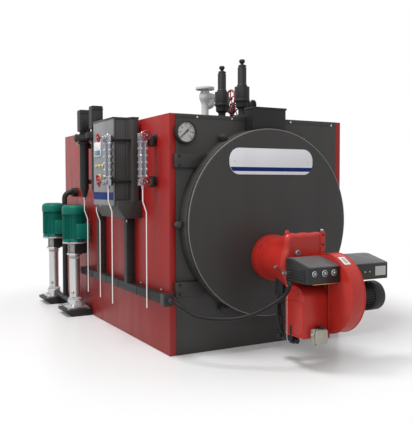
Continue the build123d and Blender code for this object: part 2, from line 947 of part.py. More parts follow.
# Red wheels of the gauges' cocks
with BuildPart() as cock_wheels:
    for x, y, _, wheel_turn, _ in gauges:
        for level in (lower_nozzle - cock_wheel_shift, upper_nozzle + cock_wheel_shift):
            cock_plane = facing(x, y, level, wheel_turn).offset(cock_flat + cock_wheel_stem)
            add(hand_wheel(cock_plane, cock_wheel_radius, cock_wheel_rim, cock_wheel_stem).part)
finish(cock_wheels, "cock_wheels")

# Level controllers: a float chamber with its flange and neck
head_base = chamber_top + chamber_neck_height
for number, y in enumerate(controller_places, 1):
    x = controller_x
    with BuildPart() as level_controller:
        add(
            standing(
                (
                    (chamber_end_radius, chamber_bottom - 6),
                    (chamber_radius, chamber_bottom + 70),
                    (chamber_radius, chamber_top - chamber_flange_height),
                    (chamber_flange_radius, chamber_top - chamber_flange_height),
                    (chamber_flange_radius, chamber_top),
                    (chamber_neck_radius, chamber_top),
                    (chamber_neck_radius, head_base),
                ),
                x,
                y,
            )
        )
        for level in (lower_nozzle, upper_nozzle):
            with BuildSketch(Plane.YZ.offset(x)):
                with Locations((y, level)):
                    Circle(nozzle_radius + 2)
            extrude(amount=side - x)
    finish(level_controller, f"level_controller_{number}")

# Switch heads on the controllers
with BuildPart() as controller_heads:
    with BuildSketch(Plane.XY.offset(head_base)):
        with Locations(*[(controller_x, y) for y in controller_places]):
            RectangleRounded(controller_head, controller_head, 14)
    extrude(amount=controller_head_height)
    chamfer(controller_heads.faces().group_by(Axis.Z)[-1].edges(), 5)
finish(controller_heads, "controller_heads")

# Drain tubes, each with a jog back towards the casing
drains = [(x, y, lower_nozzle - gauge_column_overhang, gauge_drain_end) for x, y, _, _, _ in gauges]
drains += [(controller_x, y, chamber_bottom - 6, controller_drain_end) for y in controller_places]
with BuildPart() as drain_tubes:
    for x, y, start, end in drains:
        with BuildLine() as drain_path:
            FilletPolyline(
                (x, y, start),
                (x, y, start - drain_drop),
                (x + drain_jog, y, start - drain_drop - drain_slope),
                (x + drain_jog, y, end),
                radius=30,
            )
        with BuildSketch(Plane(drain_path.line @ 0, z_dir=drain_path.line % 0)):
            Circle(drain_radius)
        sweep(path=drain_path.line)
finish(drain_tubes, "drain_tubes")

# Feed pumps
with BuildPart() as pump_feet:
    for y in pump_places:
        with BuildSketch(facing_front(y + pump_foot_length / 2)):
            with BuildLine():
                Polyline(
                    (foot_x - pump_foot_width / 2, pump_foot_height),
                    (foot_x - pump_foot_width / 2, pump_foot_height - pump_foot_lip),
                    (foot_x - pump_foot_width / 2 + pump_foot_slope, 0),
                    (foot_x + pump_foot_width / 2, 0),
                    (foot_x + pump_foot_width / 2, pump_foot_height),
                    close=True,
                )
            make_face()
        extrude(amount=pump_foot_length)
finish(pump_feet, "pump_feet")

lantern_base = sleeve_top + sleeve_flange_height
stool_top = lantern_base + stool_height
hub_top = pump_port_level + pump_flange_radius
motor_top = stool_top + pump_motor_height
for number, y in enumerate(pump_places, 1):
    with BuildPart() as pump_body:
        add(
            standing(
                (
                    (pump_base_radius, pump_foot_height),
                    (pump_base_radius, pump_foot_height + 12),
                    (pump_hub_radius, pump_foot_height + 12),
                    (pump_hub_radius, hub_top),
                    (sleeve_radius, hub_top),
                    (sleeve_radius, sleeve_top),
                    (sleeve_flange_radius, sleeve_top),
                    (sleeve_flange_radius, lantern_base),
                ),
                foot_x,
                y,
            )
        )
        with BuildSketch(facing_front(y)):
            with Locations((foot_x, pump_port_level)):
                Circle(pump_port_radius)
        extrude(amount=pump_port_reach, both=True)
        for flange_back in (y - pump_port_reach + pump_flange_thickness, y + pump_port_reach):
            with BuildSketch(facing_front(flange_back)):
                with Locations((foot_x, pump_port_level)):
                    Circle(pump_flange_radius)
            extrude(amount=pump_flange_thickness)
        with BuildSketch(Plane.XY.offset(hub_top - 12)):
            with Locations((foot_x, y)):
                with PolarLocations(stay_circle_radius, 4, start_angle=45):
                    Circle(stay_radius)
        extrude(amount=sleeve_top - hub_top + 16)
    finish(pump_body, f"pump_body_{number}")

    with BuildPart() as pump_motor:
        with BuildSketch(Plane.XY.offset(stool_top)):
            with Locations((foot_x, y)):
                Circle(pump_motor_radius)
        extrude(amount=pump_motor_height - fan_cover_height)
        with BuildSketch(Plane.XY.offset(motor_top - fan_cover_height)):
            with Locations((foot_x, y)):
                Circle(fan_cover_radius)
        extrude(amount=fan_cover_height)
        chamfer(pump_motor.faces().sort_by(Axis.Z)[-1].edges(), fan_cover_edge)
        with BuildSketch(Plane.XY.offset(stool_top + terminal_box_rise)):
            with Locations((foot_x + terminal_box_offset, y - pump_motor_radius)):
                Rectangle(terminal_box_width, 2 * terminal_box_depth)
        extrude(amount=terminal_box_height)
    finish(pump_motor, f"pump_motor_{number}")

# Lanterns between the pumps and their motors
with BuildPart() as motor_stools:
    for y in pump_places:
        with BuildSketch(Plane.XY.offset(lantern_base)):
            with Locations((foot_x, y)):
                Circle(stool_radius)
            with Locations((foot_x, y)):
                Rectangle(3 * stool_radius, stool_window, mode=Mode.SUBTRACT)
            with Locations((foot_x, y)):
                Circle(shaft_radius)
        extrude(amount=stool_height - stool_plate)
        with BuildSketch(Plane.XY.offset(stool_top - stool_plate)):
            with Locations((foot_x, y)):
                Circle(stool_plate_radius)
        extrude(amount=stool_plate)
finish(motor_stools, "motor_stools")

# Coupling guards round the open side of the lanterns
with BuildPart() as coupling_guards:
    with BuildSketch(Plane.XY.offset(lantern_base)):
        for y in pump_places:
            with Locations((foot_x + guard_width / 2, y + (guard_back - guard_front) / 2)):
                Rectangle(guard_width, guard_front + guard_back)
            with Locations((foot_x, y)):
                Circle(stool_radius, mode=Mode.SUBTRACT)
    extrude(amount=stool_height - stool_plate)
finish(coupling_guards, "coupling_guards")

# Feed water line: a header between the pumps
header_start = pump_places[0] + pump_port_reach
header_end = pump_places[1] - pump_port_reach
with BuildPart() as feed_header:
    with BuildSketch(facing_front(header_end)):
        with Locations((foot_x, pump_port_level)):
            Circle(feed_radius + 1)
    extrude(amount=header_end - header_start)
finish(feed_header, "feed_header")

# Riser from the header, with an elbow into the casing
feed_y = pump_places[0] + feed_offset
with BuildPart() as feed_riser:
    with BuildLine() as riser_path:
        FilletPolyline(
            (foot_x, feed_y, pump_port_level),
            (foot_x, feed_y, feed_level),
            (side, feed_y, feed_level),
            radius=feed_bend_radius,
        )
    with BuildSketch(Plane(riser_path.line @ 0, z_dir=riser_path.line % 0)):
        Circle(feed_radius)
    sweep(path=riser_path.line)
    with BuildSketch(Plane.YZ.offset(side)):
        with Locations((feed_y, feed_level)):
            Circle(feed_flange_radius)
    extrude(amount=-feed_flange_length)
    add(feed_header.part, mode=Mode.SUBTRACT)
finish(feed_riser, "feed_riser")

# Rear cover with its bolts, and the blowdown branch
with BuildPart() as rear_cover:
    with BuildSketch(facing_front(rear)):
        with Locations((0, rear_cover_level)):
            Circle(rear_cover_radius)
    extrude(amount=-rear_cover_thickness)
    with BuildSketch(facing_front(rear + rear_cover_thickness)):
        with Locations((0, rear_cover_level)):
            with PolarLocations(rear_cover_radius - rear_bolt_inset, rear_bolt_count):
                RegularPolygon(rear_bolt_radius, 6)
    extrude(amount=-rear_bolt_height)
finish(rear_cover, "rear_cover")
with BuildPart() as blowdown_branch:
    with BuildSketch(facing_front(rear)):
        with Locations((0, blowdown_level)):
            Circle(blowdown_radius)
    extrude(amount=-blowdown_length)
    with BuildSketch(facing_front(rear + blowdown_length - blowdown_flange_thickness)):
        with Locations((0, blowdown_level)):
            Circle(blowdown_flange_radius)
    extrude(amount=-blowdown_flange_thickness)
finish(blowdown_branch, "blowdown_branch")
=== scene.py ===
import json
import math

import bmesh
import bpy
from mathutils import Matrix, Vector


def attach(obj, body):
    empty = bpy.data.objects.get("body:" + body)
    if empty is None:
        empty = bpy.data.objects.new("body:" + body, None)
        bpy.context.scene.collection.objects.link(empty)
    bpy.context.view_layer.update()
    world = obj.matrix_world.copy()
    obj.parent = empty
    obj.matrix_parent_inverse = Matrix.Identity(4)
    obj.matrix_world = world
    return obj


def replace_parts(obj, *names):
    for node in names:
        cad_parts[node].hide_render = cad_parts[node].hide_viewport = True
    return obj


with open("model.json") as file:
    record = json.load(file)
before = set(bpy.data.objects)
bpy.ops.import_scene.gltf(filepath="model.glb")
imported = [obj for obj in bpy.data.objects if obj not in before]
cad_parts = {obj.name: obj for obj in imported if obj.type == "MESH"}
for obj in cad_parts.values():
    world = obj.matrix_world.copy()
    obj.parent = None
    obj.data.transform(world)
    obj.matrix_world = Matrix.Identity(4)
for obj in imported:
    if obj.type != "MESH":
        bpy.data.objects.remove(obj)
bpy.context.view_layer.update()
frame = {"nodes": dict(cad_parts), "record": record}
nodes = frame["nodes"]
print("frame loaded,", len(nodes), "nodes")

# The boiler: +Z up, burner end at -Y, fittings on the -X side, metres throughout
casing = {"side": 0.75, "end": 1.24, "roof": 1.68}
up, down = (0, 0, 1), (0, 0, -1)
toFront, toRear = (0, -1, 0), (0, 1, 0)
toLeft, toRight = (-1, 0, 0), (1, 0, 0)


def linked(name, data):
    body = bpy.data.objects.new(name, data)
    bpy.context.scene.collection.objects.link(body)
    return body


# Camera, solved from the casing's corners
camera = {"place": (-2.62947, -5.21504, 1.18143), "pitch": 0.04007, "yaw": 0.49879, "roll": -0.00187,
          "lens": 56.006, "sensor": 36.0}


def placeCamera():
    lensData = bpy.data.cameras.new("camera")
    lensData.sensor_fit = "HORIZONTAL"
    lensData.sensor_width = camera["sensor"]
    lensData.lens = camera["lens"]
    lensData.clip_end = 100
    body = linked("camera", lensData)
    body.location = camera["place"]
    turn = Matrix.Rotation(-camera["yaw"], 4, "Z") @ Matrix.Rotation(math.pi / 2 - camera["pitch"], 4, "X")
    body.rotation_euler = (turn @ Matrix.Rotation(camera["roll"], 4, "Z")).to_euler()
    bpy.context.scene.camera = body


placeCamera()


# Node trees: a Wire is one socket's value, and a Board is a tree that nodes are added to
class Wire:
    def __init__(self, board, socket):
        self.board = board
        self.socket = socket

    def maths(self, operation, *others):
        return self.board.out("ShaderNodeMath", {"operation": operation}, dict(enumerate((self,) + others)))

    def __add__(self, other):
        return self.maths("ADD", other)

    def __mul__(self, other):
        return self.maths("MULTIPLY", other)


class Board:
    def __init__(self, tree):
        self.tree = tree

    def add(self, kind, settings=None, values=None):
        node = self.tree.nodes.new(kind)
        for name, setting in (settings or {}).items():
            setattr(node, name, setting)
        for key, value in (values or {}).items():
            self.feed(self.socket(node.inputs, key), value)
        return node

    def socket(self, sockets, key):
        if isinstance(key, int):
            return sockets[key]
        for found in sockets:
            if key in (found.identifier, found.name) and found.enabled:
                return found
        raise KeyError(f"{key} in {[s.identifier for s in sockets]}")

    def feed(self, socket, value):
        several = value if isinstance(value, list) else [value]
        for one in several:
            if isinstance(one, Wire):
                self.tree.links.new(one.socket, socket)
            else:
                socket.default_value = one

    def out(self, kind, settings=None, values=None, output=0):
        node = self.add(kind, settings, values)
        return Wire(self, self.socket(node.outputs, output))


class Paint(Board):
    def __init__(self, name):
        self.material = bpy.data.materials.new(name)
        self.material.use_nodes = True
        super().__init__(self.material.node_tree)
        self.tree.nodes.clear()
        self.place = self.out("ShaderNodeTexCoord", output="Object")

    def axis(self, letter):
        return self.out("ShaderNodeSeparateXYZ", values={0: self.place}, output=letter)

    def stretched(self, scale):
        return self.out("ShaderNodeMapping", values={"Vector": self.place, "Scale": scale})

    def noise(self, scale, detail=3.0, rough=0.55, place=None):
        values = {"Vector": place or self.place, "Scale": scale, "Detail": detail, "Roughness": rough}
        return self.out("ShaderNodeTexNoise", values=values, output=0)

    def ranged(self, value, low, high, toLow=0.0, toHigh=1.0):
        values = {0: value, 1: low, 2: high, 3: toLow, 4: toHigh}
        return self.out("ShaderNodeMapRange", {"interpolation_type": "SMOOTHSTEP"}, values)

    def mixed(self, share, first, second):
        values = {"Factor_Float": share, "A_Color": first, "B_Color": second}
        return self.out("ShaderNodeMix", {"data_type": "RGBA"}, values, "Result_Color")

    def bump(self, height, strength, distance, normal=None):
        values = {"Height": height, "Strength": strength, "Distance": distance}
        if normal:
            values["Normal"] = normal
        return self.out("ShaderNodeBump", values=values)

    def finish(self, **values):
        named = {key.replace("_", " "): value for key, value in values.items()}
        shader = self.out("ShaderNodeBsdfPrincipled", values=named)
        self.add("ShaderNodeOutputMaterial", values={"Surface": shader})
        return self.material


def rgb(red, green, blue):
    return (red, green, blue, 1)


def shaded(colour, factor):
    return tuple(c * factor for c in colour[:3]) + (1,)


# Finishes
def enamel(name, colour, rough=0.34, spread=0.14, sag=0.0012, coat=0.25, dust=0.0):
    paint = Paint(name)
    clouds = paint.noise(1.3, 4)
    reflection_streaks = paint.noise(3.0, 5, place=paint.stretched((3, 3, 0.35)))
    peel = paint.noise(420, 2)
    tone = paint.mixed(clouds, shaded(colour, 1 - spread), shaded(colour, 1 + spread))
    # Darker vertical streaks in the colour are painted reflection, copying streaky reflections on the panels;
    # the same streaks in the roughness are real.
    tone = paint.mixed(paint.ranged(reflection_streaks, 0.45, 0.8, 0, 0.22), tone, shaded(colour, 0.7))
    if dust:
        low = paint.ranged(paint.axis("Z") + clouds * 0.16, 0.06, 0.42, dust, 0)
        tone = paint.mixed(low, tone, rgb(0.33, 0.31, 0.29))
    wave = paint.bump(clouds, 0.5, sag)
    normal = paint.bump(peel, 0.05, 0.0005, wave)
    roughness = paint.ranged(reflection_streaks + clouds * 0.4, 0.35, 0.95, rough - 0.06, rough + 0.12)
    return paint.finish(Base_Color=tone, Roughness=roughness, Normal=normal, Coat_Weight=coat,
                        Coat_Roughness=0.2, Specular_IOR_Level=0.3)


def casting(name, colour, rough=0.45, grain=260, depth=0.0006, coat=0.1, gloss=0.3):
    paint = Paint(name)
    pits = paint.noise(grain, 4, 0.6)
    clouds = paint.noise(9, 3)
    tone = paint.mixed(clouds, shaded(colour, 0.84), shaded(colour, 1.14))
    tone = paint.mixed(paint.ranged(pits, 0.3, 0.5, 0.25, 0), tone, shaded(colour, 0.45))
    roughness = paint.ranged(pits, 0.3, 0.7, rough + 0.1, rough - 0.06)
    return paint.finish(Base_Color=tone, Roughness=roughness, Normal=paint.bump(pits, 0.35, depth),
                        Coat_Weight=coat, Coat_Roughness=0.25, Specular_IOR_Level=gloss)


def moulding(name, colour, rough=0.5, grain=900, gloss=0.35):
    paint = Paint(name)
    leather = paint.noise(grain, 2)
    clouds = paint.noise(14, 2)
    tone = paint.mixed(clouds, shaded(colour, 0.86), shaded(colour, 1.16))
    roughness = paint.ranged(clouds, 0.3, 0.7, rough - 0.05, rough + 0.06)
    return paint.finish(Base_Color=tone, Roughness=roughness, Normal=paint.bump(leather, 0.25, 0.0003),
                        Specular_IOR_Level=gloss)


def steel(name, colour, rough=0.3, along=(1, 1, 40), scratch=60, depth=0.0002):
    paint = Paint(name)
    brushed = paint.noise(scratch, 5, 0.7, paint.stretched(along))
    clouds = paint.noise(11, 3)
    tone = paint.mixed(brushed, shaded(colour, 0.8), shaded(colour, 1.12))
    roughness = paint.ranged(brushed + clouds * 0.5, 0.4, 1.1, rough - 0.08, rough + 0.12)
    return paint.finish(Base_Color=tone, Roughness=roughness, Metallic=1.0,
                        Normal=paint.bump(brushed, 0.2, depth))


def clearGlass():
    paint = Paint("clear_glass")
    smear = paint.noise(30, 3)
    return paint.finish(Base_Color=rgb(0.9, 0.93, 0.95), Roughness=paint.ranged(smear, 0.4, 0.8, 0.03, 0.12),
                        Alpha=0.05)


finishes = {
    "casing_red": enamel("red_enamel", rgb(0.26, 0.0075, 0.006), 0.4, 0.12, 0.0016, 0.06, 0.05),
    "casing_dark": enamel("dark_enamel", rgb(0.034, 0.032, 0.031), 0.44, 0.1, 0.001, 0.06, 0.03),
    "burner_red": casting("burner_enamel", rgb(0.42, 0.02, 0.013), 0.38, 300, 0.0004, 0.2),
    "black_plastic": moulding("black_moulding", rgb(0.017, 0.016, 0.016), 0.4),
    "black_steel": casting("black_steel", rgb(0.019, 0.0183, 0.0185), 0.45, 340, 0.0003, 0.0, 0.24),
    "plaque_white": enamel("plaque_enamel", rgb(0.7, 0.71, 0.74), 0.34, 0.03, 0.0, 0.2),
    "panel_grey": enamel("panel_enamel", rgb(0.185, 0.19, 0.195), 0.4, 0.05, 0.0002, 0.06),
    "stool_silver": casting("silver_casting", rgb(0.42, 0.42, 0.42), 0.4, 260, 0.0004),
    "wheel_red": casting("wheel_enamel", rgb(0.26, 0.006, 0.012), 0.3, 260, 0.0003, 0.3),
    "valve_white": casting("pale_casting", rgb(0.54, 0.54, 0.535), 0.45, 160, 0.001),
    "gauge_steel": steel("gauge_steel", rgb(0.34, 0.355, 0.38), 0.36, (1, 1, 12)),
    "sleeve_steel": steel("sleeve_steel", rgb(0.62, 0.62, 0.62), 0.44, (1, 1, 30)),
    "tube_steel": steel("tube_steel", rgb(0.8, 0.74, 0.72), 0.3, (30, 30, 1)),
    "motor_green": casting("green_enamel", rgb(0.003, 0.135, 0.1), 0.45, 240, 0.0005, 0.04, 0.14),
    "actuator_beige": moulding("beige_moulding", rgb(0.36, 0.35, 0.29), 0.5),
    "conduit_black": moulding("conduit_rubber", rgb(0.012, 0.012, 0.012), 0.5, 900, 0.22),
}
bare = {
    "zinc": steel("zinc_plate", rgb(0.56, 0.55, 0.52), 0.38, (4, 4, 4), 40),
    "dial": moulding("dial_white", rgb(0.46, 0.44, 0.41), 0.45),
    "ink": moulding("dial_ink", rgb(0.005, 0.005, 0.006), 0.6, 900, 0.1),
    "amber": moulding("amber_lens", rgb(0.6, 0.42, 0.13), 0.25, 300),
    "teal": moulding("teal_screen", rgb(0.01, 0.13, 0.2), 0.2, 300),
    "blue": moulding("blue_band", rgb(0.004, 0.021, 0.13), 0.6, 500, 0.12),
    # near black for painted shade, put where gaps, slots and vents lie in shade
    "shadow": moulding("dark_gap", rgb(0.004, 0.004, 0.004), 0.8),
    "brass": steel("brass", rgb(0.6, 0.38, 0.16), 0.35, (6, 6, 6), 50),
    # grey; on the burner covers' lids it is a painted reflection of light on their tops
    "lid": moulding("lid_grey", rgb(0.085, 0.083, 0.085), 0.45),
    "nut": steel("plated_nut", rgb(0.42, 0.43, 0.45), 0.3, (6, 6, 6), 70),
    "sight": moulding("sight_glass", rgb(0.15, 0.175, 0.21), 0.14, 200),
    "glass": clearGlass(),
    "plate": moulding("bare_plate", rgb(0.42, 0.42, 0.4), 0.4, 500),
    "white": moulding("bare_white", rgb(0.72, 0.72, 0.7), 0.4, 500),
    # light grey for the door's rim ring: a painted highlight
    "rim": moulding("bright_rim", rgb(0.24, 0.24, 0.235), 0.18, 600, 0.6),
    "tag": moulding("bare_tag", rgb(0.3, 0.36, 0.33), 0.4, 500),
}

slots = {part["node"]: part["material_slot"] for part in frame["record"]["subparts"]}
for node, slot in slots.items():
    nodes[node].data.materials.clear()
    nodes[node].data.materials.append(finishes[slot])
print("finishes on the packed nodes")


# Helpers for pieces
def keep(piece):
    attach(piece, "root")
    return piece


def addObject(name, mesh, slot, material=None):
    mesh.materials.clear()
    mesh.materials.append(material or finishes[slot])
    return keep(linked(name, mesh))


def smoothed(name, mesh, slot, material=None, angle=30):
    mesh.shade_smooth()
    mesh.set_sharp_from_angle(angle=math.radians(angle))
    return addObject(name, mesh, slot, material)


def meshOf(name, shape):
    mesh = bpy.data.meshes.new(name)
    shape.to_mesh(mesh)
    shape.free()
    return mesh


def bevelSharp(shape, width, angle):
    sharp = [e for e in shape.edges if len(e.link_faces) == 2 and e.calc_face_angle(0) > math.radians(angle)]
    bmesh.ops.bevel(shape, geom=sharp, offset=width, segments=2, profile=0.5, affect="EDGES",
                    clamp_overlap=True, miter_outer="ARC")


def taken(holder):
    bpy.context.view_layer.update()
    mesh = bpy.data.meshes.new_from_object(holder.evaluated_get(bpy.context.evaluated_depsgraph_get()))
    bpy.data.objects.remove(holder)
    return mesh


# Mesh helper: every piece is drawn straight into its place
def axesOf(along):
    along = Vector(along).normalized()
    across = (Vector((0, 0, 1)) if abs(along.z) < 0.9 else Vector((1, 0, 0))).cross(along).normalized()
    return along, across, along.cross(across)


class Shape:
    def __init__(self):
        self.mesh = bmesh.new()

    def block(self, low, high, turn=None, about=(0, 0, 0)):
        corners = [Vector((x, y, z)) for x in (low[0], high[0]) for y in (low[1], high[1])
                   for z in (low[2], high[2])]
        if turn:
            about = Vector(about)
            corners = [about + turn @ (c - about) for c in corners]
        verts = [self.mesh.verts.new(c) for c in corners]
        for face in ((0, 1, 3, 2), (4, 6, 7, 5), (0, 4, 5, 1), (2, 3, 7, 6), (0, 2, 6, 4), (1, 5, 7, 3)):
            self.mesh.faces.new([verts[k] for k in face])
        return self

    def outlined(self, lines, along):
        order = {"X": lambda a, b, t: (t, a, b), "Y": lambda a, b, t: (a, t, b), "Z": lambda a, b,
                 t: (a, b, t)}[along]
        return [[self.mesh.verts.new(order(a, b, t)) for a, b in line] for line, t in lines]

    def ring(self, centre, across, aside, radius, steps):
        turns = (2 * math.pi * k / steps for k in range(steps))
        return [self.mesh.verts.new(centre + (across * math.cos(t) + aside * math.sin(t)) * radius)
                for t in turns]

    def skin(self, rings, closed=False):
        count = len(rings[0])
        for first, second in zip(rings, rings[1:] + (rings[:1] if closed else [])):
            for k in range(count):
                after = (k + 1) % count
                self.mesh.faces.new((first[k], first[after], second[after], second[k]))
        if not closed:
            self.mesh.faces.new(rings[0])
            self.mesh.faces.new(rings[-1])
        return self

    def prism(self, outline, low, high, along="X"):
        return self.skin(self.outlined([(outline, low), (outline, high)], along))

    def frame(self, outer, inner, low, high, along="Y"):
        lines = [(outer, low), (outer, high), (inner, high), (inner, low)]
        return self.skin(self.outlined(lines, along), True)

    def lathe(self, profile, place, along, steps=40, closed=False):
        along, across, aside = axesOf(along)
        place = Vector(place)
        rings = [self.ring(place + along * reach, across, aside, radius, steps if radius > 1e-6 else 1)
                 for radius, reach in profile]
        for first, second in zip(rings, rings[1:] + (rings[:1] if closed else [])):
            for k in range(steps):
                after = (k + 1) % steps
                corners = [first[k % len(first)], first[after % len(first)],
                           second[after % len(second)], second[k % len(second)]]
                corners = list(dict.fromkeys(corners))
                if len(corners) > 2:
                    self.mesh.faces.new(corners)
        for end in (rings[0], rings[-1]):
            if len(end) > 1 and not closed:
                self.mesh.faces.new(end)
        return self

    def torus(self, radius, thick, place, along, steps=48, sides=12):
        ring = [(radius + thick * math.cos(2 * math.pi * k / sides),
                 thick * math.sin(2 * math.pi * k / sides))
                for k in range(sides)]
        return self.lathe(ring, place, along, steps, True)

    def moved(self, matrix):
        self.mesh.transform(matrix)
        return self

    def rod(self, start, end, radius, steps=12):
        run = Vector(end) - Vector(start)
        return self.lathe([(radius, 0), (radius, run.length)], start, run, steps)

    def loop(self, points, thick, sides=12):
        points = [Vector(p) for p in points]
        count = len(points)
        middle = sum(points, Vector()) / count
        normal = (points[0] - middle).cross(points[count // 4] - middle).normalized()
        rings = []
        for k, point in enumerate(points):
            along = (points[(k + 1) % count] - points[k - 1]).normalized()
            rings.append(self.ring(point, along.cross(normal), normal, thick, sides))
        return self.skin(rings, True)

    def tube(self, points, radius, steps=12):
        points = [Vector(p) for p in points]
        rings = []
        across = None
        for k, point in enumerate(points):
            along = (points[min(k + 1, len(points) - 1)] - points[max(k - 1, 0)]).normalized()
            across = axesOf(along)[1] if across is None else (across - along * across.dot(along)).normalized()
            rings.append(self.ring(point, across, along.cross(across), radius, steps))
        return self.skin(rings)

    def done(self, name, slot, material=None, edge=0.0, angle=34, replaced=None):
        bmesh.ops.recalc_face_normals(self.mesh, faces=self.mesh.faces)
        if edge:
            bevelSharp(self.mesh, edge, angle)
        piece = smoothed(name, meshOf(name, self.mesh), slot, material, angle)
        if replaced:
            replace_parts(piece, replaced)
        return piece


# Patterns grown by geometry nodes
def openTree(name, inputs):
    tree = bpy.data.node_groups.new(name, "GeometryNodeTree")
    tree.interface.new_socket("Geometry", in_out="INPUT", socket_type="NodeSocketGeometry")
    for label, kind in inputs.items():
        tree.interface.new_socket(label, in_out="INPUT", socket_type="NodeSocket" + kind)
    tree.interface.new_socket("Geometry", in_out="OUTPUT", socket_type="NodeSocketGeometry")
    board = Board(tree)
    group = board.add("NodeGroupInput")
    return board, {socket.name: Wire(board, socket) for socket in group.outputs if socket.name}


def closeTree(board, wires, points, piece, turn=(0, 0, 0)):
    copies = board.out("GeometryNodeInstanceOnPoints",
                       values={"Points": points, "Instance": piece, "Rotation": turn})
    real = board.out("GeometryNodeRealizeInstances", values={"Geometry": copies})
    painted = board.out("GeometryNodeSetMaterial", values={"Geometry": real, "Material": wires["Material"]})
    board.add("NodeGroupOutput", values={"Geometry": painted})
    return board.tree


def stacked(board, piece, height):
    lift = board.out("ShaderNodeCombineXYZ", values={"Z": height})
    return board.out("GeometryNodeTransform", values={"Geometry": piece, "Translation": lift})


def boltHead(board, wires):
    size, height, sides = wires["Size"], wires["Height"], wires["Sides"]
    shank = board.out("GeometryNodeMeshCylinder", values={"Vertices": sides, "Radius": size, "Depth": height})
    crown = board.out("GeometryNodeMeshCone", values={
        "Vertices": sides, "Radius Top": size * 0.76, "Radius Bottom": size, "Depth": height * 0.22})
    washer = board.out("GeometryNodeMeshCylinder",
                       values={"Vertices": 20, "Radius": size * 1.32, "Depth": height * 0.3})
    parts = [stacked(board, shank, height * 0.5), stacked(board, crown, height),
             stacked(board, washer, height * 0.15)]
    return board.out("GeometryNodeJoinGeometry", values={"Geometry": parts})


boltInputs = {"Size": "Float", "Height": "Float", "Sides": "Int", "Material": "Material"}


def randomSpin(board, seed):
    return board.out("FunctionNodeRandomValue", {"data_type": "FLOAT_VECTOR"},
                     {"Min": (0, 0, 0), "Max": (0, 0, 1.04), "Seed": seed}, "Value")


def ringTree():
    board, wires = openTree("bolt_ring", dict(boltInputs, Count="Int", Circle="Float"))
    circle = board.out("GeometryNodeMeshCircle",
                       values={"Vertices": wires["Count"], "Radius": wires["Circle"]})
    return closeTree(board, wires, circle, boltHead(board, wires), randomSpin(board, 7))


def pointTree():
    board, wires = openTree("bolt_points", dict(boltInputs, Facing="Vector"))
    turn = board.out("FunctionNodeAlignRotationToVector", {"axis": "Z"}, {"Vector": wires["Facing"]})
    turned = board.out("FunctionNodeRotateRotation", {"rotation_space": "LOCAL"},
                       {"Rotation": turn, "Rotate By": randomSpin(board, 5)})
    return closeTree(board, wires, wires["Geometry"], boltHead(board, wires), turned)


def finTree():
    inputs = {"Count": "Int", "Circle": "Float", "Deep": "Float", "Thick": "Float", "Long": "Float",
              "Open": "Float", "Material": "Material"}
    board, wires = openTree("fin_ring", inputs)
    circle = board.out("GeometryNodeMeshCircle",
                       values={"Vertices": wires["Count"], "Radius": wires["Circle"]})
    place = board.out("GeometryNodeInputPosition")
    level = board.out("ShaderNodeSeparateXYZ", values={0: place}, output="Y")
    below = board.out("FunctionNodeCompare", {"data_type": "FLOAT", "operation": "LESS_THAN"},
                      {"A": level, "B": wires["Open"]})
    kept = board.out("GeometryNodeDeleteGeometry", {"domain": "POINT"},
                     {"Geometry": circle, "Selection": below})
    size = board.out("ShaderNodeCombineXYZ",
                     values={"X": wires["Deep"], "Y": wires["Thick"], "Z": wires["Long"]})
    fin = stacked(board, board.out("GeometryNodeMeshCube", values={"Size": size}), wires["Long"] * 0.5)
    outward = board.out("FunctionNodeAlignRotationToVector", {"axis": "X"}, {"Vector": place})
    return closeTree(board, wires, kept, fin, outward)


def slatTree():
    inputs = {"Count": "Int", "Pitch": "Float", "Long": "Float", "Thick": "Float", "Deep": "Float",
              "Material": "Material"}
    board, wires = openTree("slat_row", inputs)
    step = board.out("ShaderNodeCombineXYZ", values={"Y": wires["Pitch"]})
    row = board.out("GeometryNodeMeshLine", {"mode": "OFFSET"}, {"Count": wires["Count"], "Offset": step})
    size = board.out("ShaderNodeCombineXYZ",
                     values={"X": wires["Long"], "Y": wires["Thick"], "Z": wires["Deep"]})
    slat = stacked(board, board.out("GeometryNodeMeshCube", values={"Size": size}), wires["Deep"] * 0.5)
    return closeTree(board, wires, row, slat)


def ribTree():
    inputs = {"Pitch": "Float", "Radius": "Float", "Material": "Material"}
    board, wires = openTree("conduit_ribs", inputs)
    line = board.out("GeometryNodeMeshToCurve", values={"Mesh": wires["Geometry"]})
    points = board.out("GeometryNodeResampleCurve", {"mode": "LENGTH"},
                       {"Curve": line, "Length": wires["Pitch"]})
    tangent = board.out("GeometryNodeInputTangent")
    along = board.out("FunctionNodeAlignRotationToVector", {"axis": "Z"}, {"Vector": tangent})
    band = board.out("GeometryNodeMeshCylinder", values={
        "Vertices": 20, "Radius": wires["Radius"], "Depth": wires["Pitch"] * 0.5})
    return closeTree(board, wires, points, band, along)


trees = {"ring": ringTree(), "points": pointTree(), "fins": finTree(), "slats": slatTree(), "ribs": ribTree()}


def grown(tree, values, source=None):
    holder = linked("grower", source or bpy.data.meshes.new("grower"))
    modifier = holder.modifiers.new("grow", "NODES")
    modifier.node_group = trees[tree]
    for item in trees[tree].interface.items_tree:
        if item.in_out == "INPUT" and item.name in values:
            value = values[item.name]
            modifier[item.identifier] = float(value) if item.socket_type == "NodeSocketFloat" else value
    return taken(holder)


def setOut(name, slot, tree, values, places, material=None, spin=0.0):
    mesh = grown(tree, dict(values, Material=material or finishes[slot]))
    joined = bmesh.new()
    for centre, along in places:
        along, across, aside = axesOf(along)
        turn = Matrix((across, aside, along)).transposed().to_4x4()
        copy = mesh.copy()
        copy.transform(Matrix.Translation(centre) @ turn @ Matrix.Rotation(spin, 4, "Z"))
        joined.from_mesh(copy)
    return smoothed(name, meshOf(name, joined), slot, material)


def boltRing(name, slot, values, places, material=None, spin=math.pi / 4):
    count, circle, size, height = values
    values = {"Count": count, "Circle": circle, "Size": size, "Height": height, "Sides": 6}
    setOut(name, slot, "ring", values, places, material, spin)


def finRing(name, slot, values, place, along, material=None):
    count, circle, deep, thick, tall, level = values
    values = {"Count": count, "Circle": circle, "Deep": deep, "Thick": thick, "Long": tall, "Open": level}
    setOut(name, slot, "fins", values, [(Vector(place), along)], material)


